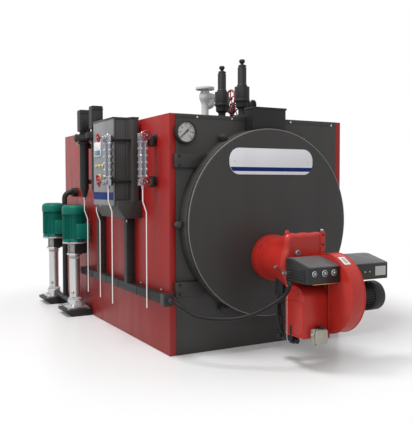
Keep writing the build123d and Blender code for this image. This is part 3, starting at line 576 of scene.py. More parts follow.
def bolts(name, slot, places, facing, size, height, sides=6, material=None):
    source = bpy.data.meshes.new("places")
    source.from_pydata([tuple(p) for p in places], [], [])
    mesh = grown("points", {"Facing": tuple(facing), "Size": size, "Height": height, "Sides": sides,
                            "Material": material or finishes[slot]}, source)
    return smoothed(name, mesh, slot, material)


print("patterns ready")

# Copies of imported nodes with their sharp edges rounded
rounded = {
    "side_panel_left": 0.004, "side_panel_right": 0.004, "top_panel": 0.002, "front_plate": 0.0015,
    "rear_plate": 0.0015, "front_rails": 0.003, "control_cabinet": 0.003, "cabinet_panel": 0.002,
    "cable_duct": 0.002, "flue_outlet": 0.0015, "pump_feet": 0.004, "burner_actuator": 0.004,
    "gland_box": 0.003, "controller_heads": 0.003, "door_plaque": 0.0012, "smokebox": 0.003,
    "smokebox_door": 0.002, "door_clamps": 0.0025, "burner_scroll": 0.002, "burner_flange": 0.004,
    "air_intake": 0.004, "safety_valves": 0.0009, "steam_valve": 0.0012,
    "vent_valve": 0.0012, "motor_stools": 0.002, "coupling_guards": 0.002,
    "level_controller_1": 0.0025, "level_controller_2": 0.0025, "gauge_branches": 0.0008, "fuel_pump": 0.0025,
    "rear_cover": 0.003, "blowdown_branch": 0.002, "pressure_gauge": 0.0012, "panel_display": 0.001,
}


def roundEdges(node, width):
    shape = bmesh.new()
    shape.from_mesh(nodes[node].data)
    bmesh.ops.remove_doubles(shape, verts=shape.verts, dist=1e-5)
    bmesh.ops.dissolve_limit(shape, angle_limit=math.radians(0.5), verts=shape.verts, edges=shape.edges)
    bevelSharp(shape, width, 32)
    name = node + "_rounded"
    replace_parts(smoothed(name, meshOf(name, shape), slots[node], angle=40), node)


for node, width in rounded.items():
    roundEdges(node, width)
print("edges rounded")


# Hand wheels, each a dished wheel with a round rim
wheels = {
    "steam_wheel": {"places": [(0.255, -0.374, 1.94)], "along": [toRight], "radius": 0.082, "rim": 0.0092,
                    "spokes": 5, "hub": 0.017, "spoke": 0.0058, "stem": 0.081, "lobes": 0, "wave": 0},
    "vent_wheel": {"places": [(0, -0.877, 1.775)], "along": [toFront], "radius": 0.05, "rim": 0.006,
                   "spokes": 4, "hub": 0.011, "spoke": 0.004, "stem": 0.022, "lobes": 0, "wave": 0},
    "cock_wheels": {
        "places": [(-0.852, -1.0913, 1.533), (-0.852, -1.0913, 1.21), (-1.0803, -0.738, 1.533),
                   (-1.0803, -0.738, 1.21)],
        "along": [toFront, toFront, toLeft, toLeft], "radius": 0.036, "rim": 0.0062,
        "spokes": 5, "hub": 0.0105, "spoke": 0.0042, "stem": 0.052, "lobes": 5, "wave": 0.0018},
}


def makeWheels(node, wheel):
    red, stems = Shape(), Shape()
    for place, along in zip(wheel["places"], wheel["along"]):
        place = Vector(place)
        along, across, aside = axesOf(along)
        middle = wheel["radius"] - wheel["rim"]
        rim = [place + (across * math.cos(t) + aside * math.sin(t))
               * (middle + wheel["wave"] * math.cos(wheel["lobes"] * t))
               for t in (2 * math.pi * k / 72 for k in range(72))]
        red.loop(rim, wheel["rim"], 12)
        for k in range(wheel["spokes"]):
            turn = 2 * math.pi * (k + 0.25) / wheel["spokes"]
            outward = across * math.cos(turn) + aside * math.sin(turn)
            red.rod(place - along * 0.004 + outward * wheel["hub"] * 0.5, place + outward * middle,
                    wheel["spoke"], 10)
        hub = wheel["hub"]
        red.lathe([(hub * 0.8, -hub * 0.8), (hub, -hub * 0.6), (hub, hub * 0.35), (hub * 0.8, hub * 0.6)],
                  place, along, 24)
        stems.lathe([(hub * 0.5, -wheel["stem"]), (hub * 0.5, hub * 0.6)], place, along, 20)
        stems.lathe([(hub * 0.62, hub * 0.5), (hub * 0.62, hub * 0.9), (hub * 0.45, hub * 1.05)], place,
                    along, 6)
    red.done(node + "_rim", "wheel_red", edge=0.0006, angle=50, replaced=node)
    stems.done(node + "_stems", "gauge_steel", angle=30)


for node, wheel in wheels.items():
    makeWheels(node, wheel)
print("wheels")

# Pressure gauge: the dial, its marks and figures, the needle and the glass
dial = {"centre": (-0.638, -1.272, 1.55), "radius": 0.068, "figures": (0, 4, 8, 12, 16, 20, 24), "start": 225,
        "step": 45, "figureSize": 0.022, "figureThick": 0.0004, "figureShare": 0.6, "needle": 222,
        "needleHalf": ((0.056, 0.0018), (0.010, 0.0058), (-0.028, 0.0082)),
        "marks": (("gauge_marks", 48, 0.9, 0.007, 0.0027, 0.0006, 0.89),
                  ("gauge_large_marks", 8, 0.86, 0.013, 0.0055, 0.0007, 0.86)),
        "gap": 0.72, "bezel": ((0, -0.001), (-0.001, 0.0118), (0.0015, 0.0142), (0.0072, 0.0142),
                               (0.0107, 0.0115), (0.0107, 0.0085), (0.0015, 0.0085), (0.0015, -0.001))}


def figureMesh(text, size, thick):
    curve = bpy.data.curves.new("figure", "FONT")
    curve.body = text
    curve.size = size
    curve.align_x = "CENTER"
    curve.align_y = "CENTER"
    curve.extrude = thick
    return taken(linked("figure", curve))


def makeDial():
    x, y, z = dial["centre"]
    radius = dial["radius"]
    Shape().lathe([(radius + 0.002, -0.001), (radius + 0.002, 0.0012)], (x, y, z), toFront, 72).done(
        "gauge_dial", "plaque_white", bare["dial"])
    for name, count, circle, deep, thick, tall, level in dial["marks"]:
        finRing(name, "black_plastic", (count, radius * circle, deep, thick, tall,
                                        -radius * level * dial["gap"]), (x, y - 0.0011, z), toFront,
                bare["ink"])
    joined = bmesh.new()
    for k, number in enumerate(dial["figures"]):
        turn = math.radians(dial["start"] - dial["step"] * k)
        reach = radius * dial["figureShare"]
        mesh = figureMesh(str(number), dial["figureSize"], dial["figureThick"])
        place = Vector((x + math.cos(turn) * reach, y - 0.0014, z + math.sin(turn) * reach))
        mesh.transform(Matrix.Translation(place) @ Matrix.Rotation(math.pi / 2, 4, "X"))
        joined.from_mesh(mesh)
    addObject("gauge_figures", meshOf("gauge_figures", joined), "black_plastic", bare["ink"])
    turn = math.radians(dial["needle"])
    ahead, aside = Vector((math.cos(turn), math.sin(turn))), Vector((-math.sin(turn), math.cos(turn)))
    outline = [ahead * a + aside * b for a, b in dial["needleHalf"]]
    outline += [ahead * a - aside * b for a, b in reversed(dial["needleHalf"])]
    needle = Shape().prism([(x + p.x, z + p.y) for p in outline], y - 0.0032, y - 0.0044, "Y")
    needle.lathe([(0.0062, 0.0011), (0.0062, 0.0052), (0.0048, 0.0062)], (x, y, z), toFront, 24)
    needle.done("gauge_needle", "black_plastic", bare["ink"])
    Shape().lathe([(radius + a, b) for a, b in dial["bezel"]], (x, y, z), toFront, 72, True).done(
        "gauge_bezel", "black_steel", angle=45)
    Shape().lathe([(radius, 0.0088), (radius, 0.0098)], (x, y, z), toFront, 72).done(
        "gauge_glass", "plaque_white", bare["glass"])


makeDial()
print("pressure gauge")

# Plaque: bare, with a plain blue band along its foot
plaque = {"face": -1.39, "centre": 1.354, "half": (0.359, 0.093), "corner": 0.082, "inset": 0.0012,
          "band": (-0.070, -0.041), "rivets": 0.318, "rivet": (0.0045, 0.0016, 16)}


def plaqueHalfWidth(height, inset):
    half, tall, corner = plaque["half"][0] - inset, plaque["half"][1] - inset, plaque["corner"] - inset
    over = max(0.0, abs(height) - (tall - corner))
    return half - corner + math.sqrt(max(0.0, corner * corner - over * over))


def plaqueStrip(low, high, inset, steps=10):
    levels = [low + (high - low) * k / steps for k in range(steps + 1)]
    right = [(plaqueHalfWidth(h, inset), plaque["centre"] + h) for h in levels]
    return right + [(-a, b) for a, b in reversed(right)]


def makePlaque():
    face = plaque["face"]
    Shape().prism(plaqueStrip(*plaque["band"], plaque["inset"]), face + 0.001, face - 0.0006, "Y").done(
        "plaque_band", "plaque_white", bare["blue"], angle=60)
    rivets = [(sign * plaque["rivets"], face, plaque["centre"]) for sign in (-1, 1)]
    bolts("plaque_rivets", "plaque_white", rivets, toFront, *plaque["rivet"], bare["zinc"])


makePlaque()
door = {"axis": (0, 0.915), "radius": 0.6735, "face": -1.3785, "thick": 0.0022}
# A thin ring on the door's chamfer, lighter than the door, is a painted highlight along its edge.
Shape().torus(door["radius"], door["thick"], (0, door["face"], door["axis"][1]), toFront, 128, 8).done(
    "door_rim", "casing_dark", bare["rim"])
print("plaque and door rim")

# Screws of the panels
screws = {"size": 0.0072, "height": 0.004, "sides": 20, "side": [
    (-0.75, -0.48, 0.9), (-0.75, -0.48, 0.7), (-0.75, -0.48, 0.456), (-0.75, 0.229, 0.904),
    (-0.75, -0.732, 0.447), (-0.75, -1.101, 0.447)],
    "front": [(-0.534, -1.24, 1.661), (-0.25, -1.24, 1.661), (0.265, -1.24, 1.661), (0.656, -1.24, 1.654)],
    "rearAcross": 0.64, "rearLevels": (0.12, 0.85, 1.6), "topAcross": 0.7,
    "topRows": (-1.15, -0.35, 0.35, 1.15)}
screwRows = {
    "side_screws": (toLeft, screws["side"]),
    "far_side_screws": (toRight, [(-x, y, z) for x, y, z in screws["side"]]),
    "front_screws": (toFront, screws["front"]),
    "rear_screws": (toRear, [(sign * screws["rearAcross"], casing["end"], z)
                             for sign in (-1, 1) for z in screws["rearLevels"]]),
    "top_screws": (up, [(sign * screws["topAcross"], y, casing["roof"])
                        for sign in (-1, 1) for y in screws["topRows"]]),
}
for name, (facing, places) in screwRows.items():
    bolts(name, "tube_steel", places, facing, screws["size"], screws["height"], screws["sides"], bare["zinc"])
print("screws")

# Level gauges: bolts down both sides of each glass, nuts behind, and the unions of their cocks
levelGauge = {"across": 0.0195, "pitch": 0.0484, "rows": 6, "middle": 1.3715, "deep": 0.0185,
              "levels": (1.219, 1.524), "glass": (0.0072, 0.115), "nut": (0.0075, 0.007, 6), "union": 0.0212,
              "elbow": (-0.783, 0.022, 0.006), "shift": 0.009, "tips": (0.0285, -0.036),
              "stands": [((-0.852, -1.018), 0.0), ((-1.007, -0.738), 45.0)]}


def makeLevelGauge(number, stand, turn):
    turn = math.radians(turn)
    outward = Vector((-math.sin(turn), -math.cos(turn), 0))
    across = Vector((math.cos(turn), -math.sin(turn), 0))
    rise = Vector(up)
    middle = Vector((*stand, levelGauge["middle"]))
    rows = [(k - (levelGauge["rows"] - 1) / 2) * levelGauge["pitch"] for k in range(levelGauge["rows"])]
    spots = [across * side * levelGauge["across"] + rise * row for side in (-1, 1) for row in rows]
    name = f"level_gauge_{number}"
    for label, way in (("_nuts", outward), ("_back_nuts", -outward)):
        bolts(name + label, "gauge_steel", [middle + way * levelGauge["deep"] + s for s in spots], way,
              *levelGauge["nut"], bare["nut"])
    studs = Shape()
    for spot in spots:
        studs.rod(middle + outward * (levelGauge["deep"] + 0.004) + spot,
                  middle + outward * (levelGauge["deep"] + 0.0125) + spot, 0.0038, 10)
    studs.done(name + "_studs", "tube_steel")
    half, tall = levelGauge["glass"]
    outline = []
    for sign, order in ((1, rows), (-1, rows[::-1])):
        for row in order:
            for k in range(9):
                t = math.radians(-60 + 15 * k)
                outline.append((sign * (0.0195 + 0.013 * math.cos(t)), row + sign * 0.013 * math.sin(t)))
        outline.append((sign * 0.026, sign * 0.134))
        outline.append((-sign * 0.026, sign * 0.134))
    turnMatrix = Matrix((across, outward, rise)).transposed()
    cover = Shape()
    for low, high in ((-0.0185, -0.002), (0.0015, 0.0155)):
        cover.prism(outline, low, high, "Y")
    cover.prism([(a * 0.93, b * 0.995) for a, b in outline], -0.002, 0.0015, "Y")
    ring = [(-0.026, -0.13), (0.026, -0.13), (0.026, 0.13), (-0.026, 0.13)]
    slot = [(-0.0085, -0.118), (0.0085, -0.118), (0.0085, 0.118), (-0.0085, 0.118)]
    cover.frame(ring, slot, 0.0152, 0.0185)
    for low, high in ((0.1355, 0.1805), (-0.1875, -0.1415)):
        cover.block((-0.0315, -0.0185, low), (0.0315, 0.0185, high))
        cover.block((-0.02, -0.014, min(low, -0.134) if low < 0 else 0.13),
                    (0.02, 0.014, 0.14 if low > 0 else -0.13))
    cover.moved(Matrix.Translation(middle) @ turnMatrix.to_4x4())
    cover.done(name + "_cover", "gauge_steel", edge=0.0012, replaced=name)
    shape = Shape().block(middle + Vector((-half, 0.0128, -tall)), middle + Vector((half, 0.0168, tall)),
                          turnMatrix, middle)
    shape.done(name + "_glass", "gauge_steel", bare["sight"], edge=0.0008)


def makeCocks(number, stand):
    x, y = stand
    facing = (toFront, toLeft)[number - 1]
    elbow, *drops = levelGauge["elbow"]
    union, cocks = Shape(), Shape()
    for level in levelGauge["levels"]:
        top = level > levelGauge["middle"]
        middle = (x, y, level + (levelGauge["shift"] if top else -levelGauge["shift"]))
        union.lathe([(0.021, 0.004), (0.023, 0.007), (0.023, 0.022), (0.021, 0.025)],
                    (x + levelGauge["union"], y, level), toRight, 6)
        if number == 1:
            union.lathe([(0.016, -0.042), (0.027, -0.036), (0.031, -0.02), (0.031, 0.018), (0.025, 0.034),
                         (0.016, 0.038)], (elbow, y, level - drops[0 if top else 1]), up, 28)
            union.lathe([(0.03, 0), (0.03, 0.009), (0.022, 0.012), (0.022, 0.03)],
                        (-casing["side"], y, level), toLeft, 32)
        cocks.lathe([(0.019, 0.014), (0.019, 0.028), (0.012, 0.031), (0.012, 0.043), (0.0095, 0.046)],
                    middle, facing, 28)
        cocks.lathe([(0.0155, 0.030), (0.0155, 0.039)], middle, facing, 6)
        cocks.lathe([(0.0125, -0.006), (0.0125, 0.006), (0.0095, 0.009)],
                    (x, y, level + levelGauge["tips"][0 if top else 1]), up if top else down, 6)
    name = f"level_gauge_{number}"
    union.done(name + "_unions", "black_steel", edge=0.0006)
    cocks.done(name + "_cocks", "gauge_steel", bare["nut"], edge=0.0005)


for number, (stand, turn) in enumerate(levelGauge["stands"], 1):
    makeLevelGauge(number, stand, turn)
    makeCocks(number, stand)
print("level gauges")

# Control cabinet: lid, painted shade in the door seam, hinges, screen, lamps and switches
cabinet = {"top": 1.69, "face": -0.954, "front": -0.703, "back": -0.254, "foot": 1.078,
           "lamps": (-0.336, -0.408, -0.477), "lampLevel": 1.338, "screen": (-0.425, -0.318, 1.414, 1.526),
           "band": (1.076, 1.133), "seam": (-0.9362, -0.858), "hingeLevels": (1.17, 1.60),
           "switches": [(-0.572, 1.553), (-0.63, 1.553), (-0.565, 1.242), (-0.63, 1.226), (-0.63, 1.262)],
           "mainSwitch": (-0.396, 1.244)}


def makeCabinet():
    top, face = cabinet["top"], cabinet["face"]
    lid = [(-0.773, -0.768), (-0.829, -0.768), (-0.846, -0.706), (-0.957, -0.706), (-0.957, -0.251),
           (-0.773, -0.251)]
    Shape().prism(lid, top - 0.009, top + 0.003, "Z").done("cabinet_lid", "casing_dark", edge=0.0015)
    front, back = cabinet["front"], cabinet["back"]
    # Near-black strips round the door are painted shade in its gap.
    seams = Shape()
    foot, head = cabinet["foot"], top - 0.012
    outer, inner = cabinet["seam"]
    seams.block((-0.9385, front - 0.0012, foot), (outer, front + 0.002, head))
    seams.block((inner, front - 0.0012, foot), (-0.8558, front + 0.002, head))
    seams.block((outer, front - 0.0012, foot), (inner, front + 0.002, 1.0803))
    seams.block((outer, front - 0.0012, top - 0.0143), (inner, front + 0.002, head))
    seams.done("cabinet_seam_shade", "black_plastic", bare["shadow"])
    hinges = Shape()
    for z in cabinet["hingeLevels"]:
        hinges.lathe([(0.0062, -0.034), (0.0072, -0.03), (0.0072, 0.03), (0.0062, 0.034)],
                     (-0.9445, back + 0.003, z), up, 20)
        hinges.block((-0.9515, back - 0.001, z - 0.022), (-0.93, back + 0.0035, z + 0.022))
    hinges.done("cabinet_hinges", "black_steel", edge=0.0006)
    low, high = cabinet["band"]
    Shape().block((face - 0.0006, front + 0.004, low), (face + 0.001, back - 0.004, high)).done(
        "cabinet_band", "panel_grey", bare["blue"])
    left, right, foot, head = cabinet["screen"]
    Shape().block((face - 0.0068, left + 0.012, foot + 0.05), (face - 0.005, right - 0.012,
                                                               head - 0.008)).done(
        "screen_panel", "plaque_white", bare["white"], edge=0.001)
    Shape().block((face - 0.0068, left - 0.003, foot + 0.006), (face - 0.005, right + 0.022,
                                                                foot + 0.046)).done(
        "screen_window", "plaque_white", bare["teal"], edge=0.001)
    lamps, rings = Shape(), Shape()
    for y in cabinet["lamps"]:
        place = (face, y, cabinet["lampLevel"])
        rings.lathe([(0.0165, -0.001), (0.0165, 0.004), (0.0145, 0.006), (0.0125, 0.006), (0.0125, -0.001)],
                    place, toLeft, 28)
        lamps.lathe([(0.0128, 0.0), (0.0128, 0.007), (0.011, 0.010), (0.0065, 0.0125), (0, 0.0135)], place,
                    toLeft, 28)
    rings.done("lamp_rings", "gauge_steel", bare["nut"])
    lamps.done("lamp_lenses", "panel_grey", bare["amber"])
    knobs, plates = Shape(), Shape()
    for y, z in cabinet["switches"]:
        place = (face, y, z)
        plates.lathe([(0.0155, -0.001), (0.0155, 0.0025), (0.0145, 0.004)], place, toLeft, 28)
        knobs.lathe([(0.0115, 0.003), (0.0115, 0.012), (0.0098, 0.015)], place, toLeft, 24)
        knobs.block((face - 0.021, y - 0.003, z - 0.011), (face - 0.012, y + 0.003, z + 0.011))
    plates.done("switch_rings", "gauge_steel", bare["nut"])
    knobs.done("switch_knobs", "black_plastic", edge=0.0008)
    main = (face, *cabinet["mainSwitch"])
    Shape().lathe([(0.033, -0.001), (0.033, 0.004), (0.031, 0.006), (0.02, 0.006), (0.02, 0.003)], main,
                  toLeft, 40).done("main_switch_ring", "panel_grey", bare["amber"])
    handle = Shape().lathe([(0.021, 0.003), (0.021, 0.014), (0.018, 0.017)], main, toLeft, 32)
    handle.block((face - 0.03, main[1] - 0.0055, main[2] - 0.022), (face - 0.014, main[1] + 0.0055,
                                                                    main[2] + 0.022))
    handle.done("main_switch", "wheel_red", edge=0.0012)
    lock = Shape().lathe([(0.011, -0.001), (0.011, 0.003), (0.009, 0.005)], (face, front + 0.03, 1.20),
                         toLeft, 24)
    lock.block((face - 0.0065, front + 0.0285, 1.194), (face - 0.0045, front + 0.0315, 1.206))
    lock.done("cabinet_lock", "gauge_steel", bare["nut"])
    bolts("cabinet_screws", "tube_steel", [(-0.816, -0.6165, 0.9135)], toLeft, 0.008, 0.004, 20, bare["zinc"])
    bolts("cabinet_foot_screws", "tube_steel", [(-0.941, -0.3807, 1.03), (-0.941, -0.62, 1.03)], toLeft,
          0.007, 0.003, 20, bare["zinc"])


makeCabinet()
print("cabinet")

# Burner: casting between the neck and the head, covers' fittings, seams, plate, rods and the motor
burner = {"axis": (-0.015, 0.668), "neck": 0.15, "neckStart": -1.466, "plate": -1.76, "left": -0.165,
          "right": 0.15, "low": 0.478, "high": 0.872, "corners": (0.09, 0.026), "headFace": -1.798,
          "turns": 72, "sections": (0, 0.12, 0.25, 0.4, 0.55, 0.7, 0.85, 1),
          "lipTurns": (0.2, 0.4, 0.6, 0.8, 1.0, 1.2, 1.4, math.pi / 2), "lip": 0.036, "coverFace": -2.117,
          "dials": (-0.192, -0.113, -0.04), "dialLevel": 0.642, "eye": (-0.08, 0.737),
          "scroll": (-1.98, 0.488)}


def headOutline(turn):
    # distance from the neck's axis to the head plate's outline, by rays
    ax, az = burner["axis"]
    ray = Vector((math.cos(turn), math.sin(turn)))
    corners = []
    for radius, level, upward in ((burner["corners"][0], burner["low"], -1),
                                  (burner["corners"][1], burner["high"], 1)):
        for edge, sideways in ((burner["left"], -1), (burner["right"], 1)):
            corners.append(((edge - sideways * radius, level - upward * radius), radius, sideways, upward))
    reach = 0.6
    for _ in range(40):
        x, z = ax + ray.x * reach, az + ray.y * reach
        inside = burner["left"] <= x <= burner["right"] and burner["low"] <= z <= burner["high"]
        for (cx, cz), radius, sx, sz in corners:
            if inside and (x - cx) * sx > 0 and (z - cz) * sz > 0 and math.hypot(x - cx, z - cz) > radius:
                inside = False
        if inside:
            break
        reach -= 0.0105
    return reach


def makeCasting():
    ax, az = burner["axis"]
    count = burner["turns"]
    turns = [2 * math.pi * k / count for k in range(count)]
    edge = [headOutline(t) for t in turns]
    edge = [(edge[k - 1] + edge[k] * 2 + edge[(k + 1) % count]) / 4 for k in range(count)]
    rings = []
    shape = Shape()
    sections = [(share, 0) for share in burner["sections"]]
    sections += [(1 + 0.13 * math.sin(t), burner["lip"] * (1 - math.cos(t))) for t in burner["lipTurns"]]
    for share, inset in sections:
        y = burner["neckStart"] + (burner["plate"] - burner["neckStart"]) * share
        blend = min(share, 1) ** 1.4
        ring = []
        for turn, reach in zip(turns, edge):
            radius = (burner["neck"] + 0.0005) * (1 - blend) + reach * blend - inset
            ring.append(shape.mesh.verts.new((ax + math.cos(turn) * radius, y, az + math.sin(turn) * radius)))
        rings.append(ring)
    shape.skin(rings)
    shape.done("burner_casting", "burner_red", angle=50, replaced="burner_head")


def makeBurner():
    makeCasting()
    ax, az = burner["axis"]
    face = burner["headFace"]
    # head plate: strip with its bolts, lug, knob and eye
    strip = Shape().block((0.108, face - 0.006, 0.52), (0.147, face + 0.004, 0.872))
    strip.done("head_strip", "burner_red", edge=0.002)
    bolts("head_bolts", "black_steel", [(0.1295, face - 0.006, z) for z in (0.85, 0.785, 0.72)], toFront,
          0.006, 0.005, 6)
    lug = Shape().lathe([(0.013, -0.02), (0.0145, -0.016), (0.0145, 0.006), (0.011, 0.012)],
                        (-0.135, -1.755, 0.872), up, 20)
    lug.lathe([(0.008, 0.0), (0.008, 0.004)], (-0.135, -1.755, 0.884), up, 6)
    lug.done("head_lug", "burner_red", edge=0.0008)
    Shape().lathe([(0.007, 0), (0.0105, 0.005), (0.012, 0.011), (0.0095, 0.017), (0, 0.02)],
                  (0.1275, -1.79, 0.87), up, 24).done("head_knob", "tube_steel", bare["zinc"])
    ring = [(0.0195, -0.001), (0.0195, 0.006), (0.0165, 0.009), (0.0125, 0.009), (0.0125, -0.001)]
    eye = (burner["eye"][0], face, burner["eye"][1])
    Shape().lathe(ring, eye, toFront, 32).done("head_eye", "gauge_steel", bare["nut"])
    Shape().lathe([(0.0122, 0), (0.0122, 0.0045)], eye, toFront, 32).done(
        "head_eye_glass", "gauge_steel", bare["sight"])
    # plug and boss on the neck
    out = Vector((-0.957, 0, -0.29)).normalized()
    Shape().lathe([(0.0125, -0.008), (0.0125, 0.0012), (0.0095, 0.0018)],
                  Vector((ax, -1.56, az)) + out * 0.1505, out, 24).done("neck_plug", "black_plastic",
                                                                        bare["shadow"])
    out = Vector((-0.80, 0, 0.6)).normalized()
    Shape().lathe([(0.0095, -0.01), (0.0095, 0.004), (0.007, 0.006)], Vector((ax, -1.50, az)) + out * 0.1505,
                  out, 20).done("neck_boss", "burner_red", edge=0.0006)
    # covers: lids in a lighter grey that paints the light reflected from their tops, end ribs, round
    # instruments, plates and lights
    outline = [(-2.117, 0.577), (-1.888, 0.577), (-1.888, 0.72), (-1.945, 0.72), (-2.117, 0.68)]
    covers = Shape().prism(outline, -0.238, 0.012, "X").prism(outline, 0.118, 0.41, "X")
    covers.done("control_covers", "black_plastic", edge=0.004, replaced="burner_controls")
    lid = [(-2.1185, 0.6775), (-2.1185, 0.6835), (-1.9455, 0.724), (-1.894, 0.724), (-1.894, 0.716),
           (-2.11, 0.676)]
    Shape().prism(lid, -0.226, 0.009, "X").done("left_lid", "black_plastic", bare["lid"], edge=0.0012)
    Shape().prism(lid, 0.121, 0.406, "X").done("right_lid", "black_plastic", bare["lid"], edge=0.0012)
    ribs = {"Count": 5, "Pitch": 0.017, "Long": 0.19, "Thick": 0.006, "Deep": 0.0065}
    for name, x, facing in (("left_cover_ribs", -0.2375, toLeft), ("right_cover_ribs", 0.4095, toRight)):
        setOut(name, "black_plastic", "slats", ribs, [((x, -1.995, 0.592), facing)])
    rims, faces, caps = Shape(), Shape(), Shape()
    for x in burner["dials"]:
        place = (x, burner["coverFace"], burner["dialLevel"])
        big = 0.0215 if x > -0.15 else 0.0185
        rims.lathe([(big, -0.001), (big, 0.005), (big - 0.0025, 0.0075), (big - 0.0042, 0.0075),
                    (big - 0.0042, 0.003)], place, toFront, 36)
        faces.lathe([(big - 0.004, 0), (big - 0.004, 0.0045)], place, toFront, 36)
        caps.lathe([(big * 0.42, 0.004), (big * 0.42, 0.0105), (big * 0.3, 0.012)], place, toFront, 24)
        caps.block((x - 0.0012, -2.1245, place[2]), (x + 0.0012, -2.1215, place[2] + big * 0.7))
    rims.done("cover_dial_rims", "gauge_steel", bare["nut"])
    faces.done("cover_dial_faces", "plaque_white", bare["lid"])
    caps.done("cover_dial_caps", "gauge_steel", bare["nut"], edge=0.0004)
    Shape().block((-0.2, -2.1187, 0.574), (0.0, -2.112, 0.5775)).done("left_cover_rule", "tube_steel",
                                                                      bare["brass"])
    Shape().block((0.302, -2.1185, 0.600), (0.392, -2.1165, 0.660)).done("right_cover_plate", "plaque_white",
                                                                         bare["plate"], edge=0.0005)
    Shape().frame(*[[(0.118 + a, 0.582 + b) for a, b in line]
                    for line in (((0.006, 0.004), (0.286, 0.004), (0.286, 0.082), (0.006, 0.082)),
                                 ((0.0085, 0.0065), (0.2835, 0.0065), (0.2835, 0.0795), (0.0085, 0.0795)))],
                  -2.1165, -2.1185).done("right_cover_border", "black_plastic")
    lights = Shape()
    for x in (0.215, 0.255):
        lights.lathe([(0.005, -0.001), (0.005, 0.003), (0.003, 0.0045)], (x, burner["coverFace"], 0.628),
                     toFront, 16)
    lights.done("cover_lights", "panel_grey", bare["amber"])
    # seam between the intake and the scroll with a painted shadow strip beside it, the scroll's bands and its
    # plate
    seam = Shape().block((0.0065, -2.0165, 0.205), (0.0155, -1.99, 0.576))
    seam.done("intake_seam", "burner_red", edge=0.0015)
    Shape().block((0.004, -2.0025, 0.208), (0.0066, -1.995, 0.572)).done("intake_gap_shade", "black_plastic",
                                                                         bare["shadow"])
    bolts("seam_screws", "burner_red", [(0.0065, -2.0105, z) for z in (0.24, 0.33, 0.42, 0.51)], toLeft,
          0.0038, 0.003, 12)
    bands = Shape()
    for x in (0.0145, 0.1125):
        bands.lathe([(0.2555, -0.0035), (0.2585, -0.0025), (0.2585, 0.0025), (0.2555, 0.0035)],
                    (x, *burner["scroll"]), toRight, 96, True)
    bands.done("scroll_bands", "burner_red")
    turn = math.radians(120.5)
    out = Vector((0, math.cos(turn), math.sin(turn)))
    along = Vector((0, -out.z, out.y))
    tilt = Matrix(((1, 0, 0), (0, along.y, out.y), (0, along.z, out.z)))
    centre = Vector((0.052, *burner["scroll"])) + out * 0.256
    for name, material, half, tall, lift in (("scroll_plate_border", "white", 0.024, 0.038, 0.0018),
                                             ("scroll_plate", "tag", 0.0135, 0.027, 0.0028)):
        Shape().block(centre + Vector((-half, -tall, -0.003)), centre + Vector((half, tall, lift)), tilt,
                      centre).done(name, "plaque_white", bare[material], edge=0.0006)
    # linkage and the tap's pipe beside the neck
    rods = Shape().tube([(-0.192, -1.7, 0.64), (-0.2, -1.76, 0.636), (-0.232, -1.87, 0.622),
                         (-0.237, -1.9, 0.619)], 0.0042, 10)
    rods.lathe([(0.011, -0.006), (0.011, 0.006)], (-0.192, -1.7, 0.64), toRight, 20)
    rods.lathe([(0.009, -0.02), (0.009, 0.02)], (-0.232, -1.868, 0.622), toRight, 20)
    rods.rod((-0.16, -1.7, 0.64), (-0.2, -1.7, 0.64), 0.005, 12)
    rods.done("linkage", "tube_steel", bare["nut"], edge=0.0006)
    pipe = Shape().tube([(-0.2, -1.86, 0.575), (-0.208, -1.86, 0.54), (-0.208, -1.86, 0.2),
                         (-0.2, -1.855, 0.178), (-0.17, -1.85, 0.168)], 0.0022, 10)
    pipe.done("gas_tap_pipe", "tube_steel", bare["zinc"])


makeBurner()

# Fittings under the head: fuel pipes, valve, pump unions and the actuator
pumpSide = {"x": -0.103, "y": -1.68}


